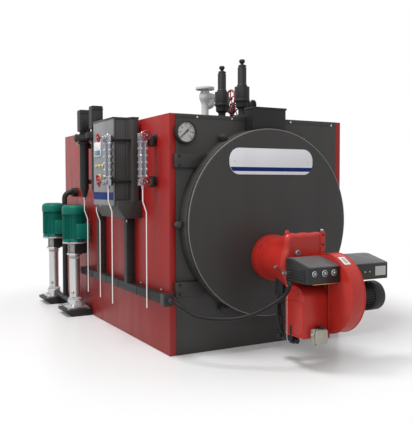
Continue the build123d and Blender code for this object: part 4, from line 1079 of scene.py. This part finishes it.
def makeFuelSide():
    x, y = pumpSide["x"], pumpSide["y"]
    hoses = Shape()
    hoses.tube([(x - 0.03, y + 0.02, 0.50), (x - 0.042, y + 0.02, 0.42), (x - 0.05, y + 0.01, 0.34),
                (x - 0.046, y, 0.26), (x - 0.034, y - 0.01, 0.205), (x - 0.018, y - 0.015, 0.178)], 0.0105,
               14)
    hoses.tube([(x + 0.02, y - 0.03, 0.50), (x - 0.012, y - 0.045, 0.43), (x - 0.028, y - 0.05, 0.35),
                (x - 0.028, y - 0.045, 0.27), (x - 0.014, y - 0.035, 0.2)], 0.0095, 14)
    hoses.done("fuel_pipes", "black_steel")
    block = Shape().block((x - 0.045, y - 0.043, 0.448), (x + 0.045, y + 0.045, 0.505))
    block.block((x - 0.03, y - 0.072, 0.458), (x + 0.03, y - 0.042, 0.5))
    block.block((x - 0.026, y - 0.03, 0.30), (x + 0.026, y + 0.028, 0.385))
    block.done("fuel_valve", "black_steel", edge=0.003)
    ends = Shape()
    for sign in (-1, 1):
        ends.lathe([(0.03, 0), (0.03, 0.012), (0.024, 0.016)], (x, y + sign * 0.05, 0.169), (0, sign, 0), 6)
        ends.lathe([(0.027, 0), (0.027, 0.006)], (x, y + sign * 0.03, 0.169), (0, sign, 0), 32)
    ends.lathe([(0.016, 0), (0.016, 0.03), (0.012, 0.036)], (x - 0.018, y, 0.169), toLeft, 6)
    ends.lathe([(0.02, 0.06), (0.02, 0.13), (0.0255, 0.133), (0.0255, 0.15), (0.019, 0.155), (0.019, 0.185),
                (0.014, 0.19)], (x - 0.024, y, 0.169), toFront, 24)
    ends.tube([(x - 0.03, y - 0.15, 0.168), (x - 0.055, y - 0.165, 0.166), (x - 0.075, y - 0.18, 0.17),
               (x - 0.08, y - 0.19, 0.2), (x - 0.08, y - 0.19, 0.28)], 0.009, 12)
    ends.done("fuel_pump_unions", "black_steel", edge=0.0008)
    Shape().lathe([(0.008, 0), (0.011, 0.005), (0.0115, 0.012), (0.008, 0.019), (0, 0.021)],
                  (x - 0.005, y - 0.165, 0.168), toFront, 24).done("fuel_pump_cap", "tube_steel", bare["nut"])
    bolts("fuel_valve_screws", "tube_steel", [(x + sx * 0.022, y - 0.072, z) for sx in (-1, 1)
                                              for z in (0.465, 0.493)], toFront, 0.0035, 0.003, 12,
          bare["nut"])
    low, high = Vector((-0.129, -2.065, 0.184)), Vector((-0.039, -2.001, 0.276))
    seam = Shape().block((low.x - 0.0015, -2.052, low.z - 0.0015), (high.x + 0.0015, -2.048, high.z + 0.0015))
    seam.done("actuator_seam", "actuator_beige", bare["lid"], edge=0.0006)
    knob = Shape().lathe([(0.013, -0.002), (0.013, 0.008), (0.0105, 0.011), (0.0105, 0.02), (0.008, 0.023)],
                         (-0.066, -2.032, high.z), up, 28)
    knob.block((-0.096, -2.03, high.z - 0.001), (-0.05, -2.004, high.z + 0.007))
    knob.done("actuator_knob", "black_plastic", edge=0.0008)
    Shape().lathe([(0.011, 0), (0.011, 0.008), (0.0085, 0.01), (0.0085, 0.018), (0.006, 0.02)],
                  (low.x, -2.036, 0.246), toLeft, 24).done("actuator_gland", "actuator_beige", edge=0.0006)
    bolts("actuator_screws", "tube_steel", [(x, -2.065, z) for x in (low.x + 0.013, high.x - 0.013)
                                            for z in (low.z + 0.013, high.z - 0.013)], toFront, 0.0035,
          0.0018, 16, bare["nut"])
    # intake: its edge band and screws
    band = Shape().frame([(-2.0, 0.217), (-1.812, 0.217), (-1.812, 0.45), (-2.0, 0.45)],
                         [(-1.992, 0.225), (-1.82, 0.225), (-1.82, 0.442), (-1.992, 0.442)], -0.1835,
                         -0.1875, "X")
    band.done("intake_edge", "burner_red", edge=0.0008)
    bolts("intake_screws", "burner_red", [(-0.184, y, z) for y in (-1.975, -1.906, -1.837)
                                          for z in (0.24, 0.5)], toLeft, 0.0045, 0.003, 14)


makeFuelSide()

# Fan motor
fan = {"place": (0.118, -1.98, 0.445), "radius": 0.098, "fins": (36, 0.0905, 0.0135, 0.0028, 0.212, -1.0),
       "finStart": 0.021, "vent_shade": (24, 0.062, 0.024, 0.0045, 0.0016, -1.0), "ventStart": 0.3288}


def makeFanMotor():
    x, y, z = fan["place"]
    place, r = Vector(fan["place"]), fan["radius"]
    shape = Shape().lathe([(r, -0.004), (r, 0.014), (r - 0.004, 0.018), (r - 0.012, 0.024),
                           (r - 0.012, 0.232), (r - 0.003, 0.236), (r - 0.003, 0.246), (r, 0.25), (r, 0.305),
                           (r - 0.006, 0.32), (r - 0.022, 0.329), (r - 0.05, 0.3295), (0, 0.3295)], place,
                          toRight, 72)
    shape.block((x + 0.018, y - r - 0.022, z - 0.042), (x + 0.114, y - 0.05, z + 0.042))
    shape.block((x + 0.014, y - r - 0.0225, z - 0.046), (x + 0.118, y - r - 0.014, z + 0.046))
    shape.done("fan_motor", "black_steel", edge=0.0012, replaced="burner_motor")
    finRing("fan_motor_fins", "black_steel", fan["fins"], place + Vector((fan["finStart"], 0, 0)), toRight)
    # Dark plates in the fan cover are painted shade in its vents.
    finRing("fan_motor_vent_shade", "black_plastic", fan["vent_shade"], place + Vector((fan["ventStart"], 0, 0)),
            toRight, bare["shadow"])


makeFanMotor()
print("burner")

# Safety valves, stop valve and vent valve
safety = {"places": [(0, -0.973), (0, -0.663)], "outlet": (0.106, 1.808),
          "flangeBolts": (4, 0.031, 0.006, 0.006), "baseBolts": (4, 0.0415, 0.005, 0.006), "baseSpin": 0.4}
stopValve = {"y": -0.374, "level": 1.94, "bonnetBolts": (6, 0.0345, 0.0048, 0.006),
             "baseBolts": (4, 0.06, 0.0085, 0.009)}


def makeTopFittings():
    shape, caps = Shape(), Shape()
    for x, y in safety["places"]:
        shape.lathe([(0.0595, 1.83), (0.0605, 1.833), (0.0605, 1.846), (0.0595, 1.849)], (x, y, 0), up, 48)
        shape.lathe([(0.047, 1.7), (0.049, 1.703), (0.049, 1.722), (0.047, 1.725)], (x, y, 0), up, 6)
        shape.lathe([(0.0395, 1.942), (0.0395, 1.956), (0.0365, 1.961)], (x, y, 0), up, 40)
        shape.lathe([(0.028, 2.09), (0.0295, 2.093), (0.0295, 2.106), (0.028, 2.109)], (x, y, 0), up, 6)
        caps.lathe([(0.013, 2.122), (0.021, 2.13), (0.0235, 2.14), (0.021, 2.149), (0.012, 2.1535),
                    (0, 2.1545)], (x, y, 0), up, 32)
        shape.rod((0.02, y - 0.03, 2.1), (-0.012, y - 0.046, 2.104), 0.0045, 10)
    shape.done("safety_collars", "black_steel", edge=0.0008)
    caps.done("safety_caps", "black_steel")
    rings = [(Vector((safety["outlet"][0], y, safety["outlet"][1])), toRight) for _, y in safety["places"]]
    boltRing("safety_flange_bolts", "gauge_steel", safety["flangeBolts"], rings, bare["nut"])
    rings = [(Vector((x, y, 1.698)), up) for x, y in safety["places"]]
    boltRing("safety_base_bolts", "gauge_steel", safety["baseBolts"], rings, bare["nut"], safety["baseSpin"])


def makeStopValve():
    # body, bonnet with its bolts, yoke and gland, and the vent valve's nuts beside it
    y, level = stopValve["y"], stopValve["level"]
    body = Shape().lathe([(0.0305, 1.7), (0.034, 1.71), (0.031, 1.724), (0.0305, 1.87), (0.0345, 1.889),
                          (0.0432, 1.911), (0.0492, 1.926), (0.0506, 1.94), (0.0492, 1.954), (0.0432, 1.969),
                          (0.0345, 1.986), (0.031, 2.001)], (0, y, 0), up, 48)
    body.lathe([(0.014, -0.05), (0.0305, -0.034), (0.0385, -0.012), (0.0385, 0.01), (0.034, 0.026),
                (0.027, 0.045)], (0.044, y, level - 0.055), (0.5, 0, 0.87), 40)
    body.lathe([(0.034, 0.035), (0.0345, 0.06), (0.031, 0.08), (0.031, 0.11)], (0, y, level), toRight, 40)
    body.lathe([(0.0225, 0.128), (0.0225, 0.146), (0.0185, 0.151)], (0, y, level), toRight, 6)
    for sign in (-1, 1):
        body.tube([(0.126, y + sign * 0.03, level), (0.15, y + sign * 0.034, level),
                   (0.18, y + sign * 0.03, level), (0.2, y + sign * 0.016, level)], 0.0065, 12)
    body.lathe([(0.018, 0.194), (0.0195, 0.198), (0.0195, 0.208), (0.018, 0.212)], (0, y, level), toRight, 28)
    body.done("steam_valve_body", "valve_white", edge=0.0008, angle=50)
    boltRing("steam_bonnet_bolts", "gauge_steel", stopValve["bonnetBolts"],
             [(Vector((0.128, y, level)), toRight)], bare["nut"], 0.0)
    boltRing("steam_base_bolts", "gauge_steel", stopValve["baseBolts"], [(Vector((0, y, 1.7)), up)],
             bare["nut"])
    vent = Shape().lathe([(0.0275, -0.014), (0.0285, -0.01), (0.0285, 0.01), (0.0275, 0.014)],
                         (0, -0.815, 1.775), up, 6)
    vent.lathe([(0.0165, 0.024), (0.0165, 0.036), (0.0125, 0.04)], (0, -0.815, 1.775), toFront, 6)
    vent.done("vent_valve_nuts", "black_steel", edge=0.0008)


makeTopFittings()
makeStopValve()
print("top fittings")

# Feed pumps: finned motors, fan covers, terminal boxes, rings and nuts
pump = {"x": -0.875, "places": (0.545, 1.255), "core": 0.096,
        "fins": (44, 0.0995, 0.0125, 0.0026, 0.22, -1.0),
        "finFoot": 0.7, "vent_shade": (32, 0.058, 0.03, 0.0042, 0.0016, -1.0), "ventLevel": 1.0088,
        "foot": (0.095, 0.115, 0.062), "port": 0.108, "stays": 0.098, "rings": {
            "stay_nuts": ((4, 0.058, 0.0085, 0.009), [(0, 0.5672, up)]),
            "foot_bolts": ((4, 0.074, 0.008, 0.009), [(0, 0.085, up)]),
            "stool_bolts": ((4, 0.088, 0.007, 0.007), [(0, 0.656, down)]),
            "port_bolts": ((4, 0.031, 0.0055, 0.006), [(-0.104, 0.108, toFront), (0.104, 0.108, toRear)])},
        "guard": (-0.018, 0.078), "slotLevels": (0.59, 0.607, 0.624)}


def makePump(number, y):
    x, core = pump["x"], pump["core"]
    motor = Shape().lathe([(0.1, 0.672), (0.104, 0.675), (0.104, 0.69), (core, 0.697), (core, 0.922),
                           (0.1, 0.926), (0, 0.926)], (x, y, 0), up, 72)
    motor.lathe([(0.1105, 0.924), (0.112, 0.927), (0.112, 0.972), (0.1105, 0.982), (0.106, 0.993),
                 (0.098, 1.002), (0.086, 1.0075), (0.07, 1.0095), (0, 1.0095)], (x, y, 0), up, 72)
    motor.block((x - 0.0165, y - 0.1475, 0.703), (x + 0.1005, y - 0.06, 0.838))
    motor.block((x - 0.0175, y - 0.149, 0.7015), (x + 0.1015, y - 0.141, 0.8405))
    for k in range(4):
        turn = math.radians(45 + 90 * k)
        motor.lathe([(0.0135, 0.672), (0.0135, 0.6935), (0.0115, 0.6955)],
                    (x + math.cos(turn) * pump["stays"], y + math.sin(turn) * pump["stays"], 0), up, 16)
    motor.done(f"pump_motor_{number}_housing", "motor_green", edge=0.0014, replaced=f"pump_motor_{number}")
    finRing(f"pump_motor_{number}_fins", "motor_green", pump["fins"], (x, y, pump["finFoot"]), up)
    # Dark plates in the fan cover are painted shade in its vents.
    finRing(f"pump_{number}_vents", "motor_green", pump["vent_shade"], (x, y, pump["ventLevel"]), up,
            bare["shadow"])
    bolts(f"pump_{number}_box_screws", "tube_steel", [(x + a, y - 0.149, z) for a in (-0.009, 0.093)
                                                      for z in (0.711, 0.831)], toFront, 0.0034, 0.002, 12,
          bare["nut"])
    gland = Shape().lathe([(0.0125, 0), (0.0125, 0.009), (0.01, 0.011), (0.01, 0.02), (0.007, 0.022)],
                          (x + 0.03, y - 0.112, 0.7035), down, 24)
    gland.done(f"pump_{number}_gland", "black_plastic", edge=0.0006)
    # sleeve with its foot and head, rings, nuts, coupling and plugs
    body = Shape().lathe([(0.084, 0.078), (0.084, 0.086), (0.062, 0.09), (0.0605, 0.1), (0.0605, 0.142),
                          (0.055, 0.15), (0.0475, 0.152), (0.0475, 0.536), (0.05, 0.538), (0.05, 0.547),
                          (0.066, 0.549), (0.0685, 0.552), (0.0685, 0.565), (0.066, 0.567)], (x, y, 0), up,
                         64)
    body.lathe([(0.024, -0.1), (0.024, 0.1)], (x, y, pump["port"]), toRear, 32)
    for sign in (-1, 1):
        body.lathe([(0.0385, 0.088), (0.04, 0.09), (0.04, 0.102), (0.0385, 0.104)], (x, y, pump["port"]),
                   (0, sign, 0), 40)
    body.block((x - 0.088, y - 0.098, 0.0618), (x + 0.098, y + 0.098, 0.079))
    body.done(f"pump_{number}_sleeve", "sleeve_steel", edge=0.0012, replaced=f"pump_body_{number}")
    rings = Shape().lathe([(0.1045, 0.656), (0.107, 0.658), (0.107, 0.669), (0.1045, 0.671)], (x, y, 0), up,
                          64)
    rings.lathe([(0.0478, 0.516), (0.0505, 0.519), (0.0505, 0.532), (0.049, 0.5345)], (x, y, 0), up, 48)
    rings.lathe([(0.062, 0.14), (0.062, 0.148), (0.0495, 0.152), (0.0495, 0.163)], (x, y, 0), up, 48)
    rings.done(f"pump_{number}_rings", "stool_silver", edge=0.0006)
    for label, (values, spots) in pump["rings"].items():
        boltRing(f"pump_{number}_{label}", "gauge_steel", values, [(Vector((x, y + shift, z)), facing)
                                                                   for shift, z, facing in spots],
                 bare["nut"])
    coupling = Shape().lathe([(0.0245, 0.585), (0.027, 0.588), (0.027, 0.628), (0.0245, 0.631)], (x, y, 0),
                             up, 32)
    for z in (0.6, 0.616):
        coupling.lathe([(0.0062, -0.029), (0.0062, 0.029)], (x, y, z), toRight, 6)
    coupling.done(f"pump_{number}_coupling", "gauge_steel", bare["nut"], edge=0.0006)
    plug = Shape().lathe([(0.014, 0.05), (0.014, 0.066), (0.011, 0.069)], (x, y, 0.205), (-0.6, -0.8, 0), 6)
    plug.lathe([(0.011, 0.05), (0.011, 0.07), (0.008, 0.073)], (x, y, 0.098), toLeft, 6)
    plug.done(f"pump_{number}_plugs", "gauge_steel", bare["nut"], edge=0.0005)
    wide, deep, level = pump["foot"]
    bolts(f"pump_{number}_floor_bolts", "gauge_steel", [(x + a, y + b, level) for a in (wide, -wide)
                                                        for b in (-deep, deep)], up, 0.009, 0.008, 6,
          bare["nut"])


for number, y in enumerate(pump["places"], 1):
    makePump(number, y)
shields, guards = Shape(), Shape()
for y in pump["places"]:
    near, far = (pump["x"] + reach for reach in pump["guard"])
    shields.block((near, y - 0.0735, 0.569), (far, y - 0.0625, 0.655))
    shields.block((pump["x"] - 0.019, y - 0.075, 0.564), (pump["x"] + 0.08, y - 0.06, 0.571))
    # dark strips on the guard fronts are painted shade in their slots
    for z in pump["slotLevels"]:
        guards.block((pump["x"] - 0.008, y - 0.0742, z), (pump["x"] + 0.066, y - 0.0725, z + 0.006))
shields.done("guard_fronts", "black_steel", edge=0.0014)
guards.done("guard_slot_shade", "black_plastic", bare["shadow"])
print("feed pumps")

# Level controllers: flange bolts, collars, the head's lid with its gland and screws, and a bare tag
controller = {"x": -0.9, "places": (-0.162, 0.155), "flange": (1.571, 1.615), "head": (1.649, 1.832),
              "bolts": (8, 0.0685, 0.0085, 0.009), "branches": (1.219, 1.524)}


def makeController(number, y):
    x = controller["x"]
    low, high = controller["flange"]
    boltRing(f"controller_{number}_bolts", "black_steel", controller["bolts"],
             [(Vector((x, y, high)), up), (Vector((x, y, low)), down)], None, 0.0)
    shape = Shape().lathe([(0.05, 1.542), (0.0525, 1.545), (0.0525, 1.556), (0.05, 1.559)], (x, y, 0), up, 48)
    shape.lathe([(0.0845, 1.5905), (0.0862, 1.592), (0.0862, 1.5945), (0.0845, 1.596)], (x, y, 0), up, 64)
    shape.lathe([(0.041, 1.615), (0.041, 1.622), (0.037, 1.626), (0.037, 1.64), (0.043, 1.6485)], (x, y, 0),
                up, 48)
    for z in controller["branches"]:
        shape.lathe([(0.028, 0), (0.028, 0.011), (0.022, 0.014), (0.022, 0.032), (0.019, 0.035)],
                    (-casing["side"], y, z), toLeft, 6)
        shape.lathe([(0.023, 0.039), (0.023, 0.058), (0.0185, 0.062)], (x, y, z), toRight, 6)
    shape.done(f"controller_{number}_collars", "black_steel", edge=0.0008)
    foot, head = controller["head"]
    box = Shape().block((x - 0.049, y - 0.049, head - 0.03), (x + 0.049, y + 0.049, head - 0.0265))
    box.block((x - 0.036, y - 0.0495, foot + 0.02), (x + 0.036, y - 0.047, head - 0.045))
    box.lathe([(0.013, 0.047), (0.013, 0.058), (0.0105, 0.06), (0.0105, 0.074), (0.007, 0.076)],
              (x, y, foot + 0.028), toRear, 24)
    box.done(f"controller_{number}_lid", "black_plastic", edge=0.0012)
    bolts(f"controller_{number}_screws", "black_steel", [(x + a, y - 0.0495, z) for a in (-0.028, 0.028)
                                                         for z in (foot + 0.028, head - 0.053)], toFront,
          0.0036, 0.002, 12)


for number, y in enumerate(controller["places"], 1):
    makeController(number, y)
Shape().block((-0.963, 0.151, 1.522), (-0.9385, 0.1535, 1.584)).block((-0.94, 0.1515, 1.55),
                                                                      (-0.93, 0.153, 1.56)).done(
    "controller_tag", "plaque_white", bare["dial"], edge=0.0005)
print("level controllers")

# Trim: end lips, the duct's clips, drain unions, pipe bolts, conduit glands, the rear cover's handle
trim = {"lip": (0.699, 1.651, 1.6795, 0.0022), "duct": (0.375, 0.435),
        "clips": (-1.06, -0.8, -0.42, -0.14, 0.22, 0.46), "legs": {-0.585: 0.94, 0.061: 1.24},
        "legBands": (0.5, 0.72, 0.9), "drains": ((-0.852, -1.018, 1.18), (-1.007, -0.738, 1.18),
                                                 (-0.9, -0.162, 1.08), (-0.9, 0.155, 1.08)),
        "feedBolts": (4, 0.033, 0.0065, 0.007), "blowdownBolts": (4, 0.041, 0.0075, 0.007),
        "railLevels": (0.433, 0.499, 1.322, 1.388), "glands": ((-0.783, -1.302, 0.405),
                                                               (-0.222, -1.908, 0.577))}


def makeTrim():
    half, foot, head, thick = trim["lip"]
    for sign, name in ((-1, "front_lip"), (1, "rear_lip")):
        near, far = sorted((sign * casing["end"], sign * casing["end"] + sign * thick))
        Shape().block((-half, near, foot), (half, far, head)).done(name, "casing_dark", edge=0.0008)
    low, high = trim["duct"]
    duct = Shape()
    duct.block((-0.8172, -1.2385, high - 0.0135), (-0.7515, 0.5585, high - 0.0115))
    duct.block((-0.8175, -1.2412, low + 0.001), (-0.7505, -1.2375, high + 0.0012))
    for y in trim["clips"]:
        duct.block((-0.8182, y, low - 0.0012), (-0.7502, y + 0.016, high + 0.0018))
    for y, top in trim["legs"].items():
        for z in trim["legBands"]:
            duct.block((-0.8178, y - 0.0312, z), (-0.7502, y + 0.0312, z + 0.012))
        duct.block((-0.8176, y - 0.0308, top - 0.012), (-0.7502, y + 0.0308, top + 0.001))
    duct.done("duct_trim", "black_steel", edge=0.0006)
    unions = Shape()
    for x, y, z in trim["drains"]:
        unions.lathe([(0.0105, -0.004), (0.0115, 0), (0.0115, 0.016), (0.0085, 0.02)], (x, y, z), down, 6)
    unions.done("drain_unions", "tube_steel", bare["nut"], edge=0.0004)
    boltRing("feed_flange_bolts", "black_steel", trim["feedBolts"], [(Vector((-0.8, 0.85, 1.121)), toLeft)])
    boltRing("blowdown_bolts", "black_steel", trim["blowdownBolts"], [(Vector((0, 1.394, 0.18)), toFront)])
    bolts("rail_bolts", "black_steel", [(-0.69, -1.278, z) for z in trim["railLevels"]], toFront, 0.009,
          0.006)
    start, end = trim["glands"]
    gland = Shape().lathe([(0.0235, 0), (0.0235, 0.012), (0.0215, 0.014)], start, toFront, 6)
    gland.lathe([(0.0205, 0.012), (0.0205, 0.022), (0.0165, 0.036), (0.0145, 0.05)], start, toFront, 32)
    gland.lathe([(0.0205, 0), (0.0205, 0.012), (0.0175, 0.02), (0.0145, 0.034)], end, down, 32)
    gland.done("conduit_glands", "black_plastic", edge=0.0008)
    handle = Shape().tube([(-0.09, 1.262, 0.86), (-0.09, 1.3, 0.862), (-0.08, 1.306, 0.864),
                           (0.08, 1.306, 0.864), (0.09, 1.3, 0.862), (0.09, 1.262, 0.86)], 0.0075, 12)
    handle.done("rear_cover_handle", "black_steel")


makeTrim()
print("trim")

# Conduit, with the same route as its solid
conduit = {"diameter": 0.024, "length": 0.963, "ribPitch": 0.0075, "ribDepth": 0.0011, "route": [
    (-0.783, -1.326, 0.405), (-0.783, -1.398, 0.405), (-0.722, -1.500, 0.341), (-0.670, -1.570, 0.321),
    (-0.569, -1.660, 0.317), (-0.484, -1.730, 0.329), (-0.408, -1.790, 0.361), (-0.335, -1.845, 0.411),
    (-0.222, -1.908, 0.497), (-0.222, -1.908, 0.577)]}


def layConduit():
    line = bpy.data.curves.new("conduit_line", "CURVE")
    line.dimensions = "3D"
    spline = line.splines.new("NURBS")
    spline.points.add(len(conduit["route"]) - 1)
    for point, place in zip(spline.points, conduit["route"]):
        point.co = (*place, 1)
    spline.order_u = 3
    spline.use_endpoint_u = True
    spline.resolution_u = 16
    line.bevel_depth = conduit["diameter"] / 2
    line.bevel_resolution = 5
    line.use_fill_caps = True
    line.materials.append(finishes["conduit_black"])
    piece = keep(linked("conduit", line))
    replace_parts(piece, "burner_conduit")
    conduitRibs()


def conduitRibs():
    line = bpy.data.objects["conduit"].data.copy()
    line.bevel_depth = 0
    path = taken(linked("conduit_path", line))
    values = {"Pitch": conduit["ribPitch"], "Radius": conduit["diameter"] / 2 + conduit["ribDepth"],
              "Material": finishes["conduit_black"]}
    return smoothed("conduit_ribs", grown("ribs", values, path), "conduit_black", angle=40)


layConduit()
print("conduit laid")


# Floor, backdrop and light
studio = {"floorTone": 0.74, "floorGlow": 0.1, "glowReach": (1.75, 2.7), "floorSize": 60.0, "world": 0.62,
          "key": ((-2.4, -1.0, 6.0), (0, -0.6, 0.8), 2.2, 310.0),
          "fill": ((-3.0, -5.5, 3.0), (0, -1.2, 0.8), 3.0, 40.0)}


def seenBy(board, *rays):
    path = board.add("ShaderNodeLightPath")
    first, *others = [Wire(board, path.outputs[f"Is {ray} Ray"]) for ray in rays]
    for other in others:
        first = first + other
    return first.maths("MINIMUM", 1)


def layFloor():
    shape = bmesh.new()
    half = studio["floorSize"] / 2
    corners = [shape.verts.new((x, y, 0)) for x, y in ((-half, -half), (half, -half), (half, half),
                                                       (-half, half))]
    shape.faces.new(corners)
    mesh = meshOf("floor", shape)
    paint = Paint("pale_floor")
    tone = studio["floorTone"]
    near = paint.out("ShaderNodeBsdfPrincipled", values={
        "Base Color": rgb(tone, tone, tone), "Roughness": 0.35, "Specular IOR Level": 0.3})
    far = paint.out("ShaderNodeEmission", values={"Color": rgb(1, 1, 1), "Strength": 1.0})
    distance = paint.out("ShaderNodeVectorMath", {"operation": "LENGTH"}, {0: paint.place}, output="Value")
    seen = seenBy(paint, "Camera", "Glossy")
    # The floor fades into white emission with distance, as a backdrop; its reach is set so that it also
    # lightens the lamp's shadow on the floor to the right of the burner, which is painted light.
    share = paint.ranged(distance, *studio["glowReach"], studio["floorGlow"], 1.0) * seen
    surface = paint.out("ShaderNodeMixShader", values={0: share, 1: near, 2: far})
    paint.add("ShaderNodeOutputMaterial", values={"Surface": surface})
    mesh.materials.append(paint.material)
    linked("floor", mesh)


def lightWorld():
    world = bpy.data.worlds.new("studio")
    bpy.context.scene.world = world
    world.use_nodes = True
    board = Board(world.node_tree)
    board.tree.nodes.clear()
    strength = seenBy(board, "Camera", "Glossy", "Transmission") * (1 - studio["world"]) + studio["world"]
    surface = board.out("ShaderNodeBackground", values={"Color": rgb(1, 1, 1), "Strength": strength})
    board.add("ShaderNodeOutputWorld", values={"Surface": surface})


def hangLamp(name, place, target, size, power):
    lampData = bpy.data.lights.new(name, "AREA")
    lampData.shape = "DISK"
    lampData.size = size
    lampData.energy = power
    lamp = linked(name, lampData)
    lamp.location = place
    lamp.rotation_euler = (Vector(target) - Vector(place)).to_track_quat("-Z", "Y").to_euler()


layFloor()
lightWorld()
for name in ("key", "fill"):
    hangLamp(name, *studio[name])
bpy.context.scene.view_settings.view_transform = "Standard"
print("floor and light")
